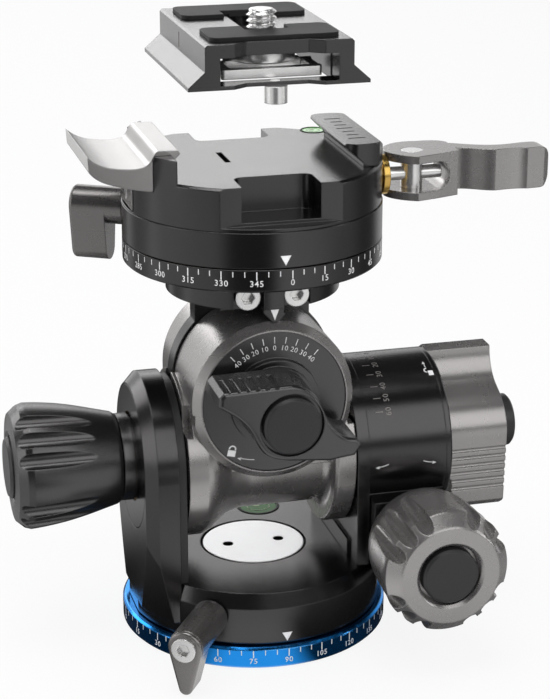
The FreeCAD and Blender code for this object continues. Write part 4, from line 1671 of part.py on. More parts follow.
fill_sheet()
make_base()
make_yoke()
make_pan_lock()
make_tilt_gear()
make_knobs()
make_block()
make_roll_gear()
make_roll_clutch()
make_tilt_clutch()
make_bracket()
make_upper_pan()
make_clamp()
make_lever()
make_plate()
make_ring()
doc.recompute()
os.makedirs("parts", exist_ok=True)
for label, item in nodes:
    check(label, item)
    item.Shape.exportStep("parts/%s.step" % label)
print(len(nodes), "pieces")
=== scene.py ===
# %% [markdown]
# # A geared tripod head
# The real object is turned and milled from aluminium, then anodised: satin black for the frame,
# a blue scale ring at the foot, and a slightly warm grey for the block, the levers and one knob.
# The solids are already the right shape, so this lesson keeps them and works on what a solid can't
# carry: finishes, engraved scales, glass levels, a real screw thread, and a studio to see it in.

import json
import math

import bpy
from mathutils import Matrix, Vector

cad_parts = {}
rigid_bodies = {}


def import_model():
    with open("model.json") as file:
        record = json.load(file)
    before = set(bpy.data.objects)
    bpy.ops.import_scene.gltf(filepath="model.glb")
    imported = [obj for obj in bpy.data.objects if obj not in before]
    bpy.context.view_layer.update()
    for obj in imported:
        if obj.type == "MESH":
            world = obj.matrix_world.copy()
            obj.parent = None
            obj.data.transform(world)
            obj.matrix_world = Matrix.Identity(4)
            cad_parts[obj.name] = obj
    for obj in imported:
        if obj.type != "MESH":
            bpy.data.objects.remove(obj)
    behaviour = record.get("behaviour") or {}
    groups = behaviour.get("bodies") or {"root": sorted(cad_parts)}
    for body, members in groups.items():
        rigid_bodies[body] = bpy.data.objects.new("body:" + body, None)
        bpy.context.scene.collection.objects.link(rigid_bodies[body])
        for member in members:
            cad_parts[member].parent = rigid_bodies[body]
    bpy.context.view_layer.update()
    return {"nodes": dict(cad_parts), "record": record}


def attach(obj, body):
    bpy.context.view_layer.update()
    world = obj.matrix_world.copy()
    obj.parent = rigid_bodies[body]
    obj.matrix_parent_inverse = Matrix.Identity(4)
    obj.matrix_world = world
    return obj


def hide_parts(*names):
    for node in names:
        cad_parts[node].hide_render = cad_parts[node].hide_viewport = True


for leftover in list(bpy.data.objects):
    bpy.data.objects.remove(leftover)
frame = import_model()
nodes = frame["nodes"]
bpy.ops.object.select_all(action="DESELECT")
MM = 0.001

# %% [markdown]
# ## Main measures
# Markings sit on faces that the solids already have, so those faces' radii and heights are named
# here once, in millimetres above the underside or from an axis.

# %% Measures
FOOT_RADIUS, FOOT_LINE = 30.0, 4.35
YOKE_RADIUS, YOKE_TIP = 28.45, 5.5
UPPER_RADIUS, UPPER_LINE, UPPER_TIP = 28.2, 89.75, 90.9
TILT_AXIS, DRUM_RADIUS = 40.8, 18.5
ROLL_AXIS, DIAL_FACE, TAB_FACE = 57.8, 19.1, 18.6
DISC_SHADE = 16.74
JAW_TOP = 112.0
FLANK_X = -15.1
THIN = 0.05
print("tilt axis", TILT_AXIS, "roll axis", ROLL_AXIS)

# %% [markdown]
# ## Tools for modelling
# Blender's operators work on whatever is selected, so every step first picks exactly one object.
# `finished` writes an object's place into its mesh and leaves the object at the origin, as the
# solids are.


# %% Small modelling helpers
def pick(*objects):
    """Selects these objects only; the first becomes the active one."""
    bpy.ops.object.select_all(action="DESELECT")
    for item in objects:
        item.select_set(True)
    bpy.context.view_layer.objects.active = objects[0]
    return objects[0]


def moved(item, place=(0, 0, 0), turn=(0, 0, 0)):
    """Turns an object about the origin, moves it, and writes both into its mesh."""
    pick(item)
    item.data.transform(
        Matrix.Translation(Vector(place) * MM)
        @ Matrix.Rotation(turn[2], 4, "Z")
        @ Matrix.Rotation(turn[1], 4, "Y")
        @ Matrix.Rotation(turn[0], 4, "X")
    )
    return item


def applied(item, kind, **settings):
    """Adds a modifier with these settings and applies it at once."""
    pick(item)
    step = item.modifiers.new(kind.lower(), kind)
    for key, value in settings.items():
        setattr(step, key, value)
    bpy.ops.object.modifier_apply(modifier=step.name)
    return item


def joined(pieces, name):
    """Makes one object of several."""
    pick(*pieces)
    if len(pieces) > 1:
        bpy.ops.object.join()
    whole = bpy.context.view_layer.objects.active
    whole.name = whole.data.name = name
    return whole


def finished(item, name, body, material, angle=30):
    """Names a piece, smooths it, gives it its finish and lets it ride on its body."""
    pick(item)
    bpy.ops.object.transform_apply(location=True, rotation=True, scale=True)
    item.name = item.data.name = name
    bpy.ops.object.shade_smooth_by_angle(angle=math.radians(angle))
    item.data.materials.clear()
    item.data.materials.append(material)
    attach(item, body)
    return item


print("helpers ready")

# %% [markdown]
# ## Shared shader groups
# Three effects return on nearly every metal part, so each is a node group with its own inputs.
# *Edge light* rounds the shading of sharp edges and says where they are, because anodising is
# thinnest and most rubbed there. *Blast grain* is the fine matt sparkle that bead blasting leaves.
# *Turned rings* are the faint circles a lathe leaves round an axis.


# %% Group helpers
def new_group(name, inputs, outputs):
    """An empty shader node group with these sockets: (name, kind, default)."""
    tree = bpy.data.node_groups.new(name, "ShaderNodeTree")
    for label, kind, value in inputs:
        socket = tree.interface.new_socket(name=label, in_out="INPUT", socket_type=kind)
        if value is not None:
            socket.default_value = value
    for label, kind in outputs:
        tree.interface.new_socket(name=label, in_out="OUTPUT", socket_type=kind)
    return tree, tree.nodes.new("NodeGroupInput"), tree.nodes.new("NodeGroupOutput")


def node(tree, kind, links=None, **settings):
    """One node with settings and values; a link is a socket, anything else a value."""
    made = tree.nodes.new(kind)
    for key, value in settings.items():
        setattr(made, key, value)
    for key, value in (links or {}).items():
        if isinstance(value, bpy.types.NodeSocket):
            tree.links.new(value, made.inputs[key])
        else:
            made.inputs[key].default_value = value
    return made


def maths(tree, kind, first, second=0.0):
    """One Math node; returns its output."""
    return node(tree, "ShaderNodeMath", {0: first, 1: second}, operation=kind).outputs[0]


def blend(tree, share, first, second):
    """Mixes two colours; a Mix node's colour sockets are found by place, as their names repeat."""
    return node(tree, "ShaderNodeMix", {0: share, 6: first, 7: second}, data_type="RGBA").outputs[2]


def ramp(tree, value, stops):
    """A row of (place, brightness) stops that a value from 0 to 1 runs along."""
    made = node(tree, "ShaderNodeValToRGB", {0: value})
    made.color_ramp.interpolation = "EASE"
    for place, _ in stops[1:-1]:
        made.color_ramp.elements.new(place)
    for stop, (place, bright) in zip(made.color_ramp.elements, stops):
        stop.position = place
        stop.color = (bright, bright, bright, 1)
    return made.outputs[0]


def fade(tree, value, start, end, low, high):
    """Runs softly from low to high while the value goes from start to end."""
    stops = {0: value, 1: start, 2: end, 3: low, 4: high}
    return node(tree, "ShaderNodeMapRange", stops, interpolation_type="SMOOTHSTEP").outputs[0]


FLOAT, VECTOR = "NodeSocketFloat", "NodeSocketVector"
print("group helpers ready")

# %% Edge light
edge_group, ins, outs = new_group(
    "edge light",
    [("Radius", FLOAT, 0.0003)],
    [("Normal", VECTOR), ("Edge", FLOAT)],
)
rounding = node(edge_group, "ShaderNodeBevel", {"Radius": ins.outputs["Radius"]}, samples=4)
surface = node(edge_group, "ShaderNodeNewGeometry")
likeness = node(
    edge_group,
    "ShaderNodeVectorMath",
    {0: rounding.outputs[0], 1: surface.outputs["Normal"]},
    operation="DOT_PRODUCT",
)
edge = node(
    edge_group,
    "ShaderNodeMapRange",
    {"Value": likeness.outputs["Value"], "From Min": 0.995, "From Max": 0.86},
)
edge_group.links.new(rounding.outputs[0], outs.inputs["Normal"])
edge_group.links.new(edge.outputs["Result"], outs.inputs["Edge"])
print("edge light group")

# %% Blast grain
grain_group, ins, outs = new_group(
    "blast grain",
    [("Size", FLOAT, 0.00012), ("Smudge Size", FLOAT, 0.009)],
    [("Height", FLOAT), ("Fine", FLOAT), ("Smudge", FLOAT)],
)
where = node(grain_group, "ShaderNodeTexCoord").outputs["Object"]
fine = node(
    grain_group,
    "ShaderNodeTexNoise",
    {
        "Vector": where,
        "Scale": maths(grain_group, "DIVIDE", 1.0, ins.outputs["Size"]),
        "Detail": 2.0,
    },
)
smudge = node(
    grain_group,
    "ShaderNodeTexNoise",
    {
        "Vector": where,
        "Scale": maths(grain_group, "DIVIDE", 1.0, ins.outputs["Smudge Size"]),
        "Detail": 4.0,
        "Roughness": 0.6,
    },
)
grain_group.links.new(fine.outputs[0], outs.inputs["Height"])
grain_group.links.new(fine.outputs[0], outs.inputs["Fine"])
grain_group.links.new(smudge.outputs[0], outs.inputs["Smudge"])
print("blast grain group")

# %% Turned rings
turned_group, ins, outs = new_group(
    "turned rings",
    [("Vector", VECTOR, None), ("Pitch", FLOAT, 0.0002)],
    [("Height", FLOAT)],
)
axis_parts = node(turned_group, "ShaderNodeSeparateXYZ", {0: ins.outputs["Vector"]})
radius = maths(
    turned_group,
    "SQRT",
    maths(
        turned_group,
        "ADD",
        maths(turned_group, "MULTIPLY", axis_parts.outputs[0], axis_parts.outputs[0]),
        maths(turned_group, "MULTIPLY", axis_parts.outputs[1], axis_parts.outputs[1]),
    ),
)
steps = maths(
    turned_group,
    "DIVIDE",
    maths(turned_group, "ADD", radius, axis_parts.outputs[2]),
    ins.outputs["Pitch"],
)
lines = node(
    turned_group, "ShaderNodeTexNoise", {"W": steps, "Scale": 1.0, "Detail": 2.0}, noise_dimensions="1D"
)
turned_group.links.new(lines.outputs[0], outs.inputs["Height"])
print("turned rings group")

# %% [markdown]
# ## Metal finishes
# Every metal shares one recipe with its own numbers: a base colour that drifts a little with
# handling, a paler worn edge, a roughness that follows the same smudges, and a bump from the
# grain. The anodised colours are not mirror metals, so they keep some plain body colour. Mouldings,
# rubber, liquid and paint use the same recipe with no metal in it.

# %% The metal recipe
EDGE_WIDTH = 0.00035
DRIFT = 0.06
SMUDGE_ROUGH = (0.9, 1.12)
GRAIN_DEPTH = 0.0002
GRAIN_UNDER_RINGS = 0.3


def metal(
    name,
    colour,
    worn,
    rough,
    metallic=0.9,
    wear=0.5,
    grain=0.06,
    size=0.00012,
    turned=None,
    shine=0.5,
):
    """A finish: body colour, worn edge colour, roughness, and how strong wear and grain are."""
    made = bpy.data.materials.new(name)
    made.use_nodes = True
    tree = made.node_tree
    tree.nodes.clear()
    out = node(tree, "ShaderNodeOutputMaterial")
    shader = node(tree, "ShaderNodeBsdfPrincipled", {"Metallic": metallic, "Specular IOR Level": shine})
    edges = node(tree, "ShaderNodeGroup", node_tree=edge_group)
    edges.inputs["Radius"].default_value = EDGE_WIDTH
    blast = node(tree, "ShaderNodeGroup", node_tree=grain_group)
    blast.inputs["Size"].default_value = size
    dark = [c * (1 - DRIFT) for c in colour] + [1.0]
    light = [min(1.0, c * (1 + DRIFT)) for c in colour] + [1.0]
    drift = blend(tree, blast.outputs["Smudge"], dark, light)
    rubbed = maths(
        tree,
        "MULTIPLY",
        edges.outputs["Edge"],
        maths(tree, "MULTIPLY", maths(tree, "POWER", blast.outputs["Smudge"], 1.5), wear * 2),
    )
    body = blend(tree, rubbed, drift, [*worn, 1.0])
    tree.links.new(body, shader.inputs["Base Color"])
    roughness = node(
        tree,
        "ShaderNodeMapRange",
        {
            "Value": blast.outputs["Smudge"],
            "To Min": rough * SMUDGE_ROUGH[0],
            "To Max": rough * SMUDGE_ROUGH[1],
        },
    )
    tree.links.new(roughness.outputs[0], shader.inputs["Roughness"])
    height = blast.outputs["Height"]
    if turned:
        spot = node(tree, "ShaderNodeTexCoord").outputs["Object"]
        place = node(tree, "ShaderNodeMapping", {"Vector": spot})
        place.vector_type = "TEXTURE"
        place.inputs["Location"].default_value = turned[0]
        place.inputs["Rotation"].default_value = turned[1]
        rings = node(tree, "ShaderNodeGroup", {}, node_tree=turned_group)
        tree.links.new(place.outputs[0], rings.inputs["Vector"])
        rings.inputs["Pitch"].default_value = turned[2]
        under = maths(tree, "MULTIPLY", height, GRAIN_UNDER_RINGS)
        height = maths(tree, "ADD", under, rings.outputs[0])
    bump = node(tree, "ShaderNodeBump", {"Height": height, "Strength": grain, "Distance": GRAIN_DEPTH})
    tree.links.new(edges.outputs["Normal"], bump.inputs["Normal"])
    tree.links.new(bump.outputs[0], shader.inputs["Normal"])
    tree.links.new(shader.outputs[0], out.inputs[0])
    return made


TURNED_ABOUT_Z = ((0, 0, 0), (0, 0, 0), 0.0003)
FINISH = {
    "blue_anodised": metal(
        "blue anodised", (0.018, 0.26, 0.75), (0.3, 0.65, 0.95), 0.14, 0.99, turned=TURNED_ABOUT_Z
    ),
    "black_anodised": metal(
        "black anodised", (0.073, 0.071, 0.071), (0.16, 0.16, 0.16), 0.2, 0.95, wear=0.3
    ),
    "gunmetal": metal(
        "grey anodised", (0.37, 0.357, 0.352), (0.45, 0.44, 0.43), 0.27, 0.82, wear=0.1, grain=0.025
    ),
    "dark_grey": metal(
        "dark grey anodised", (0.1, 0.098, 0.098), (0.26, 0.26, 0.26), 0.26, 0.92, wear=0.35
    ),
    "bright_steel": metal(
        "bright steel", (0.85, 0.845, 0.84), (0.95, 0.95, 0.95), 0.26, 0.9, grain=0.02
    ),
    "silver_disc": metal(
        "pale silver", (0.95, 0.955, 0.97), (0.97, 0.97, 0.97), 0.34, 0.75, grain=0.05
    ),
    "steel_gear": metal("gear steel", (0.4, 0.4, 0.41), (0.6, 0.6, 0.6), 0.3, 1.0, grain=0.1),
    "brass": metal("brass", (0.66, 0.43, 0.12), (0.9, 0.72, 0.38), 0.2, 1.0),
    "bronze": metal("bronze", (0.42, 0.26, 0.12), (0.6, 0.45, 0.25), 0.34, 1.0),
    "black_plastic": metal(
        "black moulding",
        (0.02, 0.02, 0.0205),
        (0.06, 0.06, 0.06),
        0.38,
        0.0,
        wear=0.2,
        grain=0.16,
        size=0.0002,
    ),
    "black_rubber": metal(
        "black rubber",
        (0.007, 0.007, 0.0075),
        (0.03, 0.03, 0.03),
        0.55,
        0.0,
        wear=0.1,
        grain=0.4,
        size=0.00035,
    ),
    "level_green": metal(
        "level liquid", (0.14, 0.5, 0.09), (0.3, 0.6, 0.2), 0.08, 0.0, wear=0.0, grain=0.0, shine=0.3
    ),
}
BUBBLE = metal(
    "level bubble", (0.6, 0.75, 0.5), (0.8, 0.9, 0.7), 0.2, 0.0, wear=0.0, grain=0.0, shine=0.2
)
LEVEL_RIM = metal(
    "level rim", (0.008, 0.016, 0.008), (0.05, 0.1, 0.04), 0.4, 0.0, wear=0.1, grain=0.02, shine=0.2
)
# painted shade: the jaw rule's cut lines are near-black, darker than the anodising, for the shade
# inside the cuts
CUT_SHADE = metal(
    "painted cut shade", (0.006, 0.006, 0.006), (0.02, 0.02, 0.02), 0.6, 0.0, wear=0.0, shine=0.1
)
ETCHED = metal(
    "worn etching", (0.3, 0.28, 0.27), (0.35, 0.35, 0.35), 0.5, 0.2, wear=0.0, grain=0.05
)
WHITE = metal(
    "white marking", (0.95, 0.95, 0.95), (0.95, 0.95, 0.95), 0.5, 0.0, wear=0.0, grain=0.05
)
print("finishes", len(FINISH))

# %% [markdown]
# ## The solids
# A imported solid brings its own smooth shading, so it only needs its finish. The record says
# which slot each piece takes. A few pieces have their own finish within their slot: the milled jaw
# and two darker levers have a tint of their own, the level that lies deep in the yoke is painted a
# darker green as shade, and the silver disc has painted shade at the foot of its spanner holes.


# %% Dress the solids
def sunk(material, height):
    """Paints shade below a height: the foot of a small hole is painted near-black as shade."""
    tree = material.node_tree
    shader = tree.nodes["Principled BSDF"]
    place = node(tree, "ShaderNodeTexCoord").outputs["Object"]
    spot = node(tree, "ShaderNodeSeparateXYZ", {0: place})
    deep = maths(tree, "LESS_THAN", spot.outputs[2], height)
    body = shader.inputs["Base Color"].links[0].from_socket
    # painted shade: near-black is blended in below the height, where the foot of a hole lies in shade
    tree.links.new(blend(tree, deep, body, (0.01, 0.01, 0.01, 1)), shader.inputs["Base Color"])
    return material


OWN = {
    "top_lock_knob": metal(
        "lever grey", (0.2, 0.192, 0.189), (0.35, 0.34, 0.33), 0.27, 0.88, wear=0.2
    ),
    "pan_lock_lever": metal(
        "lock lever grey", (0.24, 0.23, 0.225), (0.4, 0.39, 0.38), 0.27, 0.88, wear=0.2
    ),
    "moving_jaw": metal("milled grey", (0.4, 0.39, 0.385), (0.7, 0.7, 0.7), 0.24, 0.95, wear=0.3),
    # painted shade: the floor level's liquid is a darker copy of the level liquid, as it lies deep in
    # the yoke
    "floor_level": metal(
        "shaded level liquid",
        (0.035, 0.15, 0.03),
        (0.1, 0.3, 0.08),
        0.12,
        0.0,
        wear=0.0,
        grain=0.0,
        shine=0.08,
    ),
    # painted shade at the foot of the spanner holes, laid on the shared pale silver finish
    "spindle_cap": sunk(FINISH["silver_disc"], DISC_SHADE * MM),
}
for part in frame["record"]["subparts"]:
    item = nodes[part["node"]]
    item.data.materials.clear()
    item.data.materials.append(OWN.get(part["node"], FINISH[part["material_slot"]]))
print("dressed", len(nodes))

# %% [markdown]
# ## Engraved scales
# The real scales are laser-etched and filled white. A mark is made here as a thin flat piece that
# stands a few hundredths of a millimetre proud. A scale that runs round a drum is laid out flat
# first, as a straight strip, because that is easy to draw; then the Simple Deform modifier bends
# the whole strip round the drum. Its angle is the strip's length divided by the drum's radius.

# %% Marks on a flat sheet
def bar(width, height, place=(0, 0), turn=0.0):
    """A thin bar on the drawing plane, facing up, centred at its place."""
    bpy.ops.mesh.primitive_plane_add(size=1)
    item = bpy.context.view_layer.objects.active
    item.scale = (width * MM, height * MM, 1)
    bpy.ops.object.transform_apply(scale=True)
    bpy.ops.object.mode_set(mode="EDIT")
    bpy.ops.mesh.extrude_region_move(TRANSFORM_OT_translate={"value": (0, 0, -THIN * MM)})
    bpy.ops.mesh.select_all(action="SELECT")
    bpy.ops.mesh.normals_make_consistent(inside=False)
    bpy.ops.object.mode_set(mode="OBJECT")
    return moved(item, (*place, 0), (0, 0, turn))


def label(words, size, place=(0, 0), turn=0.0, bold=0.0):
    """A number on the drawing plane, centred at its place, as a thin closed mesh."""
    bpy.ops.object.text_add()
    item = bpy.context.view_layer.objects.active
    item.data.body = str(words)
    item.data.size = size * MM * 1.4
    item.data.align_x, item.data.align_y = "CENTER", "CENTER"
    item.data.resolution_u = 3
    item.data.space_character = 1.12
    item.data.extrude = THIN / 2 * MM
    item.data.offset = bold * MM
    bpy.ops.object.convert(target="MESH")
    item = bpy.context.view_layer.objects.active
    return moved(item, (*place, -THIN / 2), (0, 0, turn))


def wedge(width, height, place=(0, 0), turn=0.0):
    """A solid triangle on the drawing plane; its tip points down at its place."""
    bpy.ops.mesh.primitive_circle_add(vertices=3, radius=1, fill_type="NGON")
    item = bpy.context.view_layer.objects.active
    item.scale = (width / math.sqrt(3) * MM, height / 1.5 * MM, 1)
    bpy.ops.object.transform_apply(scale=True)
    bpy.ops.object.mode_set(mode="EDIT")
    bpy.ops.mesh.select_all(action="SELECT")
    bpy.ops.mesh.extrude_region_move(TRANSFORM_OT_translate={"value": (0, 0, -THIN * MM)})
    bpy.ops.mesh.select_all(action="SELECT")
    bpy.ops.mesh.normals_make_consistent(inside=False)
    bpy.ops.object.mode_set(mode="OBJECT")
    moved(item, turn=(0, 0, math.pi))
    moved(item, (0, height / 1.5, 0))
    return moved(item, (*place, 0), (0, 0, turn))


def bent(item, radius):
    """Stands a flat strip up facing -Y and bends it round Z, its zero at the front."""
    moved(item, turn=(math.pi / 2, 0, 0))
    width = max(v.co.x for v in item.data.vertices) - min(v.co.x for v in item.data.vertices)
    applied(
        item, "SIMPLE_DEFORM", deform_method="BEND", deform_axis="Z", angle=width / (radius * MM)
    )
    return moved(item, (0, -radius, 0))


test = bar(1, 2)
print("bar faces", len(test.data.polygons), "size", [round(v / MM, 3) for v in test.dimensions])
bpy.data.objects.remove(test)

# %% [markdown]
# ### Two pan scales
# The blue foot ring and the black upper ring carry the same degrees scale: a short line every
# five degrees, a long one every fifteen, and a number under each long one. One set of three lines
# is drawn and an Array modifier repeats it twenty-four times.


# %% A pan scale
def pan_scale(name, radius, top, zero_at, size):
    """The whole scale round a ring; number n sits at azimuth n + zero_at from the front."""
    step = radius * math.radians(5)
    lines = [bar(0.24, 1.75, (0, -0.875))]
    lines += [bar(0.2, 1.15, (step * k, -0.575)) for k in (1, 2)]
    strip = applied(
        joined(lines, name),
        "ARRAY",
        count=24,
        use_relative_offset=False,
        use_constant_offset=True,
        constant_offset_displace=(3 * step * MM, 0, 0),
    )
    texts = [label(15 * k, size, (3 * step * k, -1.95 - size / 2), bold=0.012) for k in range(24)]
    strip = joined([strip] + texts, name)
    bent(strip, radius + THIN / 2)
    return moved(strip, (0, 0, top), (0, 0, math.radians(zero_at)))


foot_scale = pan_scale("foot_scale_marks", FOOT_RADIUS, FOOT_LINE, -89.2, 1.25)
upper_scale = pan_scale("upper_scale_marks", UPPER_RADIUS, UPPER_LINE, 3.0, 1.3)
finished(foot_scale, "foot_scale_marks", "base", WHITE)
finished(upper_scale, "upper_scale_marks", "bracket", WHITE)
print("scale marks", len(foot_scale.data.polygons), len(upper_scale.data.polygons))

# %% [markdown]
# Each scale is read against a white triangle on the drum that turns over it.

# %% Index triangles over the scales
for name, radius, tip, at, body in (
    ("foot_index", YOKE_RADIUS, YOKE_TIP, 0.8, "yoke"),
    ("upper_index", UPPER_RADIUS, UPPER_TIP, 0.0, "head"),
):
    mark = bent(wedge(2.3, 2.1), radius + THIN / 2)
    moved(mark, (0, 0, tip), (0, 0, math.radians(at)))
    finished(mark, name, body, WHITE)
print("index triangles")

# %% [markdown]
# ### The roll dial
# A flat dial: lines and numbers stand on arcs round its centre, so each is drawn at its radius
# and turned by its own angle.

# %% Dial marks
LINE_RADIUS, NUMBER_RADIUS, DIAL_STEP = 13.9, 12.15, 10.3


def on_dial(item):
    """Stands a flat drawing up on the dial's face."""
    return moved(item, (0, -DIAL_FACE - THIN / 2, ROLL_AXIS), (math.pi / 2, 0, 0))


marks = []
for step in range(-4, 5):
    turn = -math.radians(DIAL_STEP * step)
    up = Vector((-math.sin(turn), math.cos(turn)))
    marks.append(bar(0.17, 1.45, up * LINE_RADIUS, turn))
    marks.append(label(abs(step) * 10, 1.12, up * NUMBER_RADIUS, turn))
dial_marks = on_dial(joined(marks, "roll_dial_marks"))
finished(dial_marks, "roll_dial_marks", "block", WHITE)
print("dial marks", len(dial_marks.data.polygons))

# %% [markdown]
# ### Padlocks and arrows
# Each clutch lever has a small padlock with an arrow that shows which way it locks. A padlock is a
# block with a bent bar over it; an arrow is a long thin bar with a triangle at its tip.


# %% Symbols
def padlock(tall, place=(0, 0), turn=0.0, opened=False):
    """A padlock of this height; an opened one has its bow swung to one side."""
    body = bar(tall * 0.62, tall * 0.5, (0, -tall * 0.25))
    bow = bar(tall * 0.85, tall * 0.12)
    pick(bow)
    bpy.ops.object.mode_set(mode="EDIT")
    bpy.ops.mesh.select_all(action="SELECT")
    bpy.ops.mesh.subdivide(number_cuts=6)
    bpy.ops.object.mode_set(mode="OBJECT")
    applied(bow, "SIMPLE_DEFORM", deform_method="BEND", deform_axis="Z", angle=-math.radians(200))
    top = max(v.co.y for v in bow.data.vertices) / MM
    moved(bow, (tall * 0.38 if opened else 0, tall * 0.38 - top, 0))
    return moved(joined([body, bow], "padlock"), (*place, 0), (0, 0, turn))


def arrow(length, place=(0, 0), turn=0.0, thick=0.16, sag=40):
    """An arrow that points along -X from its tail, bent to an arc of this many degrees."""
    shaft = bar(length, thick)
    pick(shaft)
    bpy.ops.object.mode_set(mode="EDIT")
    bpy.ops.mesh.select_all(action="SELECT")
    bpy.ops.mesh.subdivide(number_cuts=8)
    bpy.ops.object.mode_set(mode="OBJECT")
    if sag:
        applied(shaft, "SIMPLE_DEFORM", deform_method="BEND", deform_axis="Z", angle=math.radians(sag))
    end = min(shaft.data.vertices, key=lambda v: v.co.x).co / MM
    half = math.radians(sag / 2)
    ahead = thick * 3
    tip = wedge(thick * 4.5, thick * 5.5)
    moved(tip, (end.x - ahead, end.y + half * ahead, 0), (0, 0, -math.pi / 2 - half))
    return moved(joined([shaft, tip], "arrow"), (*place, 0), (0, 0, turn))


def front_of_drum(item, along, at):
    """Stands a drawing on the tilt drum's front: along its length, at an angle above the front."""
    moved(item, (0, 0, DRUM_RADIUS + THIN))
    return moved(item, (along, 0, TILT_AXIS), (math.pi / 2 - math.radians(at), 0, 0))


LEAN = math.radians(12)
lock = padlock(2.9, (-9.4, -10.2), -LEAN)
hint = arrow(3.4, (-6.2, -12.6), -LEAN, sag=12)
roll_sign = on_dial(joined([lock, hint], "roll_lock_sign"))
finished(roll_sign, "roll_lock_sign", "block", WHITE)
back_arrow = moved(arrow(2.6, turn=-LEAN, sag=-20), turn=(0, 0, math.pi))
signs = [
    front_of_drum(arrow(2.6, turn=LEAN, sag=20), 24.9, -2.5),
    front_of_drum(back_arrow, 35.4, -2.5),
    front_of_drum(padlock(2.3, turn=math.pi / 2, opened=True), 38.2, 62),
    front_of_drum(arrow(1.6, turn=-math.pi / 2, sag=10), 38.0, 70),
]
finished(joined(signs, "tilt_signs"), "tilt_signs", "yoke", WHITE)
tab_mark = moved(wedge(1.9, 2.5), (0.2, -TAB_FACE - THIN / 2, 75.95), (math.pi / 2, 0, 0))
finished(tab_mark, "tab_index", "bracket", WHITE)
print("signs ready")

# %% [markdown]
# ### The tilt scale
# The drum's axis lies sideways, so the strip is bent round Z like the others and then laid over.
# These numbers are etched but not filled, and they look grey.

# %% Tilt marks round the drum
TILT_MARKS = ((60, 35.4), (50, 45.3), (40, 54.6), (30, 65.4), (20, 75.7), (10, 86), (0, 96))
texts = []
for value, at in TILT_MARKS:
    along = math.radians(at) * DRUM_RADIUS
    texts.append(bar(0.17, 1.7, (along, -0.85)))
    texts.append(label(value, 1.3, (along, -3.0)))
tilt_marks = bent(joined(texts, "tilt_scale_marks"), DRUM_RADIUS + THIN / 2)
moved(tilt_marks, (24.0, 0, TILT_AXIS), (0, -math.pi / 2, 0))
finished(tilt_marks, "tilt_scale_marks", "yoke", ETCHED)
print("tilt marks", len(tilt_marks.data.polygons), "faces")

# %% [markdown]
# ### Fine lines
# One line is etched on the plate's flank, and a short rule is cut across the top of the fixed jaw.
# The rule's lines are painted near-black as the shade inside the cuts.

# %% Fine etching on the clamp and the plate
RULE_STEP, RULE_COUNT = 3.1, 7
flank = moved(bar(0.14, 3.2), (FLANK_X - THIN, 2.4, 132.6), (math.pi / 2, 0, -math.pi / 2))
finished(flank, "plate_flank_mark", "plate", ETCHED)
rule = []
for k in range(RULE_COUNT):
    line = bar(0.15, 3.6 if k % 3 == 0 else 2.6)
    along = RULE_STEP * (k - RULE_COUNT // 2)
    rule.append(moved(line, (20.6, along, JAW_TOP + THIN), (0, 0, math.pi / 2)))
finished(joined(rule, "jaw_rule_marks"), "jaw_rule_marks", "head", CUT_SHADE)
print("etching ready")

# %% [markdown]
# ### Bullseye levels
# A level is a well of green liquid with a dark rim, a thin printed circle and a bubble that rests
# against the glass. Both levels are made in the same way, and their circles are shares of the
# well's radius.


# %% Levels
def ring(inner, outer, height, corners=64):
    """A flat ring with rounded edges, its underside on the drawing plane."""
    bpy.ops.mesh.primitive_cylinder_add(vertices=corners, radius=outer * MM, depth=height * MM)
    item = bpy.context.view_layer.objects.active
    bpy.ops.object.mode_set(mode="EDIT")
    bpy.ops.mesh.select_mode(type="FACE")
    bpy.ops.mesh.select_all(action="DESELECT")
    bpy.ops.object.mode_set(mode="OBJECT")
    for face in item.data.polygons:
        face.select = len(face.vertices) > 4
    bpy.ops.object.mode_set(mode="EDIT")
    bpy.ops.mesh.inset(thickness=(outer - inner) * MM)
    bpy.ops.mesh.bridge_edge_loops()
    bpy.ops.object.mode_set(mode="OBJECT")
    soft = min(height, outer - inner) * 0.3
    applied(item, "BEVEL", width=soft * MM, segments=2, limit_method="ANGLE")
    return moved(item, (0, 0, height / 2))


def level(name, radius, place, body):
    """Rim, printed circle and bubble on top of a level's well."""
    rim = moved(ring(radius * 0.86, radius, 0.12), place)
    finished(rim, name + "_rim", body, LEVEL_RIM)
    line = moved(ring(radius * 0.5, radius * 0.545, 0.04), place)
    bpy.ops.mesh.primitive_uv_sphere_add(segments=32, ring_count=16, radius=radius * 0.2 * MM)
    bead = bpy.context.view_layer.objects.active
    bpy.ops.object.mode_set(mode="EDIT")
    bpy.ops.mesh.select_all(action="SELECT")
    bpy.ops.transform.resize(value=(1, 1, 0.12))
    bpy.ops.object.mode_set(mode="OBJECT")
    moved(bead, (place[0] - radius * 0.08, place[1] + radius * 0.15, place[2]))
    bubble = joined([line, bead], name + "_bubble")
    return finished(bubble, name + "_bubble", body, BUBBLE)


level("floor_level", 5.0, (6, 19, 16.85), "yoke")
level("clamp_level", 2.9, (19.4, 20.4, 107), "head")
print("levels ready")

# %% [markdown]
# ### The camera screw
# The solid screw is a plain cylinder, because a thread only matters to the eye. Here the whole
# screw is modelled again with a real 20-per-inch thread: one triangle, carried up a helix by the
# Screw modifier, round a plain core. Below its head hang a lug and the cross pin of the ring.

# %% Threaded camera screw
PITCH, TURNS = 1.27, 3
ROOT_RADIUS, CREST_RADIUS, FLANK = 2.45, 3.17, 0.52
THREAD_LOW = 135.8
SCREW_PLACE = (0.2, -7.6, 0)


def post(radius, low, high, bevel, corners=64):
    """An upright round bar with bevelled ends."""
    bpy.ops.mesh.primitive_cylinder_add(
        vertices=corners,
        radius=radius * MM,
        depth=(high - low) * MM,
        location=(0, 0, (low + high) / 2 * MM),
    )
    item = bpy.context.view_layer.objects.active
    bpy.ops.object.transform_apply(location=True)
    return applied(item, "BEVEL", width=bevel * MM, segments=3, limit_method="ANGLE")


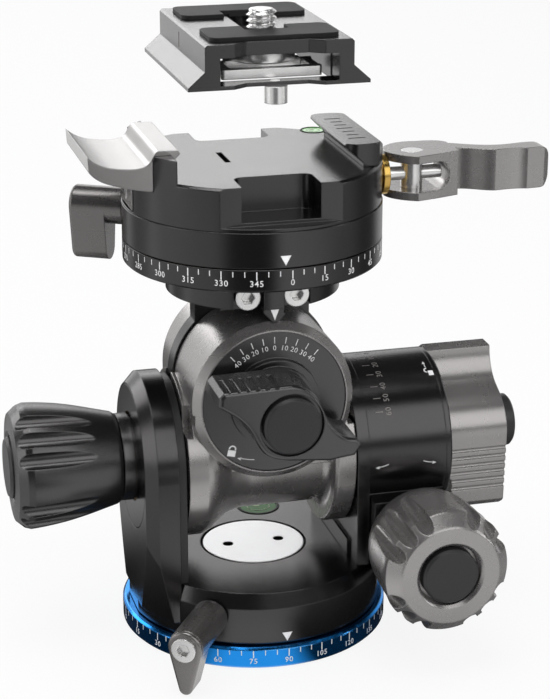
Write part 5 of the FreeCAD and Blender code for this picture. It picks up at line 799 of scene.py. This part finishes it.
bpy.ops.mesh.primitive_circle_add(vertices=3, radius=0.001, fill_type="NGON")
thread = bpy.context.view_layer.objects.active
corners = ((ROOT_RADIUS, 0, -FLANK), (CREST_RADIUS, 0, 0.0), (ROOT_RADIUS, 0, FLANK))
for corner, spot in zip(thread.data.vertices, corners):
    corner.co = Vector(spot) * MM
applied(
    thread,
    "SCREW",
    steps=48,
    render_steps=48,
    iterations=TURNS,
    screw_offset=PITCH * MM,
    axis="Z",
    use_merge_vertices=False,
)
pick(thread)
bpy.ops.object.mode_set(mode="EDIT")
bpy.ops.mesh.select_mode(type="EDGE")
bpy.ops.mesh.select_all(action="DESELECT")
bpy.ops.mesh.select_non_manifold(extend=False)
bpy.ops.mesh.edge_face_add()
bpy.ops.mesh.select_all(action="SELECT")
bpy.ops.mesh.normals_make_consistent(inside=False)
bpy.ops.object.mode_set(mode="OBJECT")
moved(thread, (0, 0, THREAD_LOW))
core = post(2.6, 132.2, 140.2, 0.35)
head = post(7.0, 129.8, 132.3, 0.35)
bpy.ops.mesh.primitive_cube_add(size=1)
lug = bpy.context.view_layer.objects.active
lug.scale = (0.01630, 0.0024, 0.00240)
bpy.ops.object.transform_apply(scale=True)
applied(lug, "BEVEL", width=0.25 * MM, segments=2)
moved(lug, (0, 0, 128.7))
pin = moved(post(0.6, -10.3, 10.3, 0.15, 24), (0, 0, 128.5), (0, math.pi / 2, 0))
screw = moved(joined([thread, core, head, lug, pin], "threaded_camera_screw"), SCREW_PLACE)
finished(screw, "threaded_camera_screw", "camera_screw", FINISH["bright_steel"])
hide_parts("camera_screw")
print("screw faces", len(screw.data.polygons))

# %% [markdown]
# ## Studio
# Satin black shows little but what it mirrors. A camera that looks down a little sees the floor
# mirrored in every upright wall, and the sky near the horizon mirrored in every level face. So the
# floor and the sky each have three faces: plain white for the camera, pale paint for soft light,
# and a painted pattern of bright and dark that only mirror rays see. No part of that pattern is
# brighter than white.

# %% [markdown]
# ### Floor
# The pattern changes with the bearing round the head, as cards set up round it would, and it grows
# darker close to the foot. One patch in front of the foot lights the middle of the lower drum and
# the blue ring, and one far card behind on the left lights only the plate's flank.

# %% Floor
CARDS = [
    ((bearing_deg + 180) / 360, bright)
    for bearing_deg, bright in (
        (-180, 0.05),
        (-160, 0.07),
        (-148, 0.55),
        (-132, 0.3),
        (-118, 0.5),
        (-108, 1.0),
        (-95, 0.75),
        (-45, 0.6),
        (-30, 0.08),
        (2, 0.05),
        (11, 0.9),
        (32, 0.78),
        (75, 0.38),
        (97, 0.12),
        (112, 0.12),
        (128, 0.6),
        (148, 0.55),
        (163, 0.07),
        (180, 0.05),
    )
]
CAMERA_SHARE, PAINT = 0.88, 0.75
bpy.ops.mesh.primitive_plane_add(size=1)
floor = bpy.context.view_layer.objects.active
floor.name = "floor"
floor.scale = (6, 6, 1)
bpy.ops.object.transform_apply(scale=True)
bpy.ops.object.mode_set(mode="EDIT")
bpy.ops.mesh.subdivide(number_cuts=4)
bpy.ops.object.mode_set(mode="OBJECT")
print("floor", floor.dimensions[:])

# %% Floor pattern
pale = bpy.data.materials.new("pale floor")
pale.use_nodes = True
tree = pale.node_tree
tree.nodes.clear()
place = node(tree, "ShaderNodeTexCoord").outputs["Object"]
spot = node(tree, "ShaderNodeSeparateXYZ", {0: place})
ahead = maths(tree, "MULTIPLY", spot.outputs[1], -1.0)
bearing = maths(tree, "ARCTAN2", spot.outputs[0], ahead)


def facing(degrees):
    """How nearly the bearing is this one: the cosine of the angle between them."""
    return maths(tree, "COSINE", maths(tree, "SUBTRACT", bearing, math.radians(degrees)))


around = node(tree, "ShaderNodeMapRange", {0: bearing, 1: -math.pi, 2: math.pi, 3: 0.0, 4: 1.0})
cards = ramp(tree, around.outputs[0], CARDS)
reach = node(tree, "ShaderNodeVectorMath", {0: place}, operation="LENGTH").outputs["Value"]
shaded = maths(tree, "MULTIPLY", cards, fade(tree, reach, 0.036, 0.1, 0.05, 1.0))

narrow = fade(tree, facing(-13.75), 0.86, 0.99, 0.0, 1.0)
wide = fade(tree, facing(-11.46), 0.74, 0.96, 0.0, 0.85)
inner = maths(tree, "MULTIPLY", narrow, fade(tree, reach, 0.046, 0.056, 1.0, 0.0))
outer = maths(tree, "MULTIPLY", wide, fade(tree, reach, 0.046, 0.056, 0.0, 1.0))
foot_glow = maths(tree, "ADD", inner, outer)
foot_glow = maths(tree, "MULTIPLY", foot_glow, fade(tree, reach, 0.09, 0.15, 1.0, 0.0))

side_card = fade(tree, facing(-165.58), 0.92, 0.98, 0.0, 0.95)
side_card = maths(tree, "MULTIPLY", side_card, fade(tree, reach, 0.31, 0.36, 0.0, 1.0))
strength = maths(tree, "MAXIMUM", maths(tree, "MAXIMUM", shaded, foot_glow), side_card)
print("floor pattern", len(CARDS), "stops")

# %% Floor finish
WHITE_LIGHT = (1, 1, 1, 1)
rays = node(tree, "ShaderNodeLightPath")
paint = node(tree, "ShaderNodeBsdfDiffuse", {"Color": (PAINT, PAINT, PAINT, 1)})
glow = node(tree, "ShaderNodeEmission", {"Color": WHITE_LIGHT, "Strength": 1.0})
share = maths(tree, "MULTIPLY", rays.outputs["Is Camera Ray"], CAMERA_SHARE)
seen = node(tree, "ShaderNodeMixShader", {0: share, 1: paint.outputs[0], 2: glow.outputs[0]})
mirrored = node(tree, "ShaderNodeEmission", {"Color": WHITE_LIGHT, "Strength": strength})
ends = {0: rays.outputs["Is Glossy Ray"], 1: seen.outputs[0], 2: mirrored.outputs[0]}
whole = node(tree, "ShaderNodeMixShader", ends)
node(tree, "ShaderNodeOutputMaterial", {0: whole.outputs[0]})
floor.data.materials.append(pale)
print("floor finish ready")

# %% [markdown]
# ### Sky
# The camera sees white. Soft light comes from an even pale room. Mirror rays see a bright band low
# behind the head, which the level faces reflect, and dark above it.

# %% Sky
world = bpy.data.worlds.new("studio")
bpy.context.scene.world = world
world.use_nodes = True
tree = world.node_tree
tree.nodes.clear()
rays = node(tree, "ShaderNodeLightPath")
seen = maths(tree, "MAXIMUM", rays.outputs["Is Camera Ray"], rays.outputs["Is Transmission Ray"])
room = node(tree, "ShaderNodeBackground", {"Color": (0.5, 0.5, 0.51, 1), "Strength": 1.0})
white = node(tree, "ShaderNodeBackground", {"Color": WHITE_LIGHT, "Strength": 1.0})
sky = node(tree, "ShaderNodeMixShader", {0: seen, 1: room.outputs[0], 2: white.outputs[0]})
place = node(tree, "ShaderNodeTexCoord").outputs["Object"]
heading = node(tree, "ShaderNodeSeparateXYZ", {0: place})
behind = fade(tree, heading.outputs[1], -0.2, 0.6, 0.05, 0.9)
low = fade(tree, heading.outputs[2], 0.28, 0.45, 1.0, 0.08)
glare = maths(tree, "MULTIPLY", behind, low)
mirrored = node(tree, "ShaderNodeBackground", {"Color": WHITE_LIGHT, "Strength": glare})
ends = {0: rays.outputs["Is Glossy Ray"], 1: sky.outputs[0], 2: mirrored.outputs[0]}
whole = node(tree, "ShaderNodeMixShader", ends)
node(tree, "ShaderNodeOutputWorld", {0: whole.outputs[0]})
print("sky ready")

# %% [markdown]
# ### Lamps
# Large soft panels far from the head give the plain soft light. The two at the back draw the broad
# sheen on the upper faces.


# %% Lamps
def panel(name, place, aim, size, power):
    """A soft rectangular lamp at a place in metres, facing its aim."""
    bpy.ops.object.light_add(type="AREA", location=place)
    lamp = bpy.context.view_layer.objects.active
    lamp.name = name
    lamp.data.shape = "RECTANGLE"
    lamp.data.size, lamp.data.size_y = size
    lamp.data.energy = power
    lamp.rotation_mode = "QUATERNION"
    lamp.rotation_quaternion = (Vector(aim) - Vector(place)).to_track_quat("-Z", "Y")
    return lamp


CENTRE = (0.0, 0.0, 0.07)
LAMPS = (
    ("top panel", (-0.1, -0.05, 0.8), CENTRE, (0.5, 0.5), 3),
    ("left panel", (-0.8, -0.1, 0.3), CENTRE, (0.3, 0.8), 1.4),
    ("right panel", (0.75, -0.3, 0.25), CENTRE, (0.1, 0.7), 1),
    ("front panel", (0.2, -0.75, 0.52), CENTRE, (0.7, 0.7), 2.4),
    ("back panel", (-0.5, 0.76, 0.46), (-0.05, 0.0, 0.1), (0.9, 0.32), 2.5),
    ("far panel", (0.11, 0.9, 0.46), (0.0, 0.0, 0.1), (0.36, 0.32), 0.55),
)
for lamp_row in LAMPS:
    panel(*lamp_row)
print("lamps", len(LAMPS))

# %% [markdown]
# ## Camera
# A long lens from the front left, a little above, so the two scales show as flat ellipses.

# %% Camera
bpy.ops.object.camera_add(location=(-0.1066, -0.4215, 0.2152))
camera = bpy.context.view_layer.objects.active
camera.name = "camera"
camera.data.lens = 107.17
camera.data.sensor_width = 36
camera.data.clip_start = 0.01
camera.rotation_mode = "QUATERNION"
aim = Vector((0.0048, -0.0013, 0.0632))
camera.rotation_quaternion = (aim - camera.location).to_track_quat("-Z", "Y")
bpy.context.scene.camera = camera
bpy.context.scene.view_settings.view_transform = "Standard"
print("camera lens", camera.data.lens)
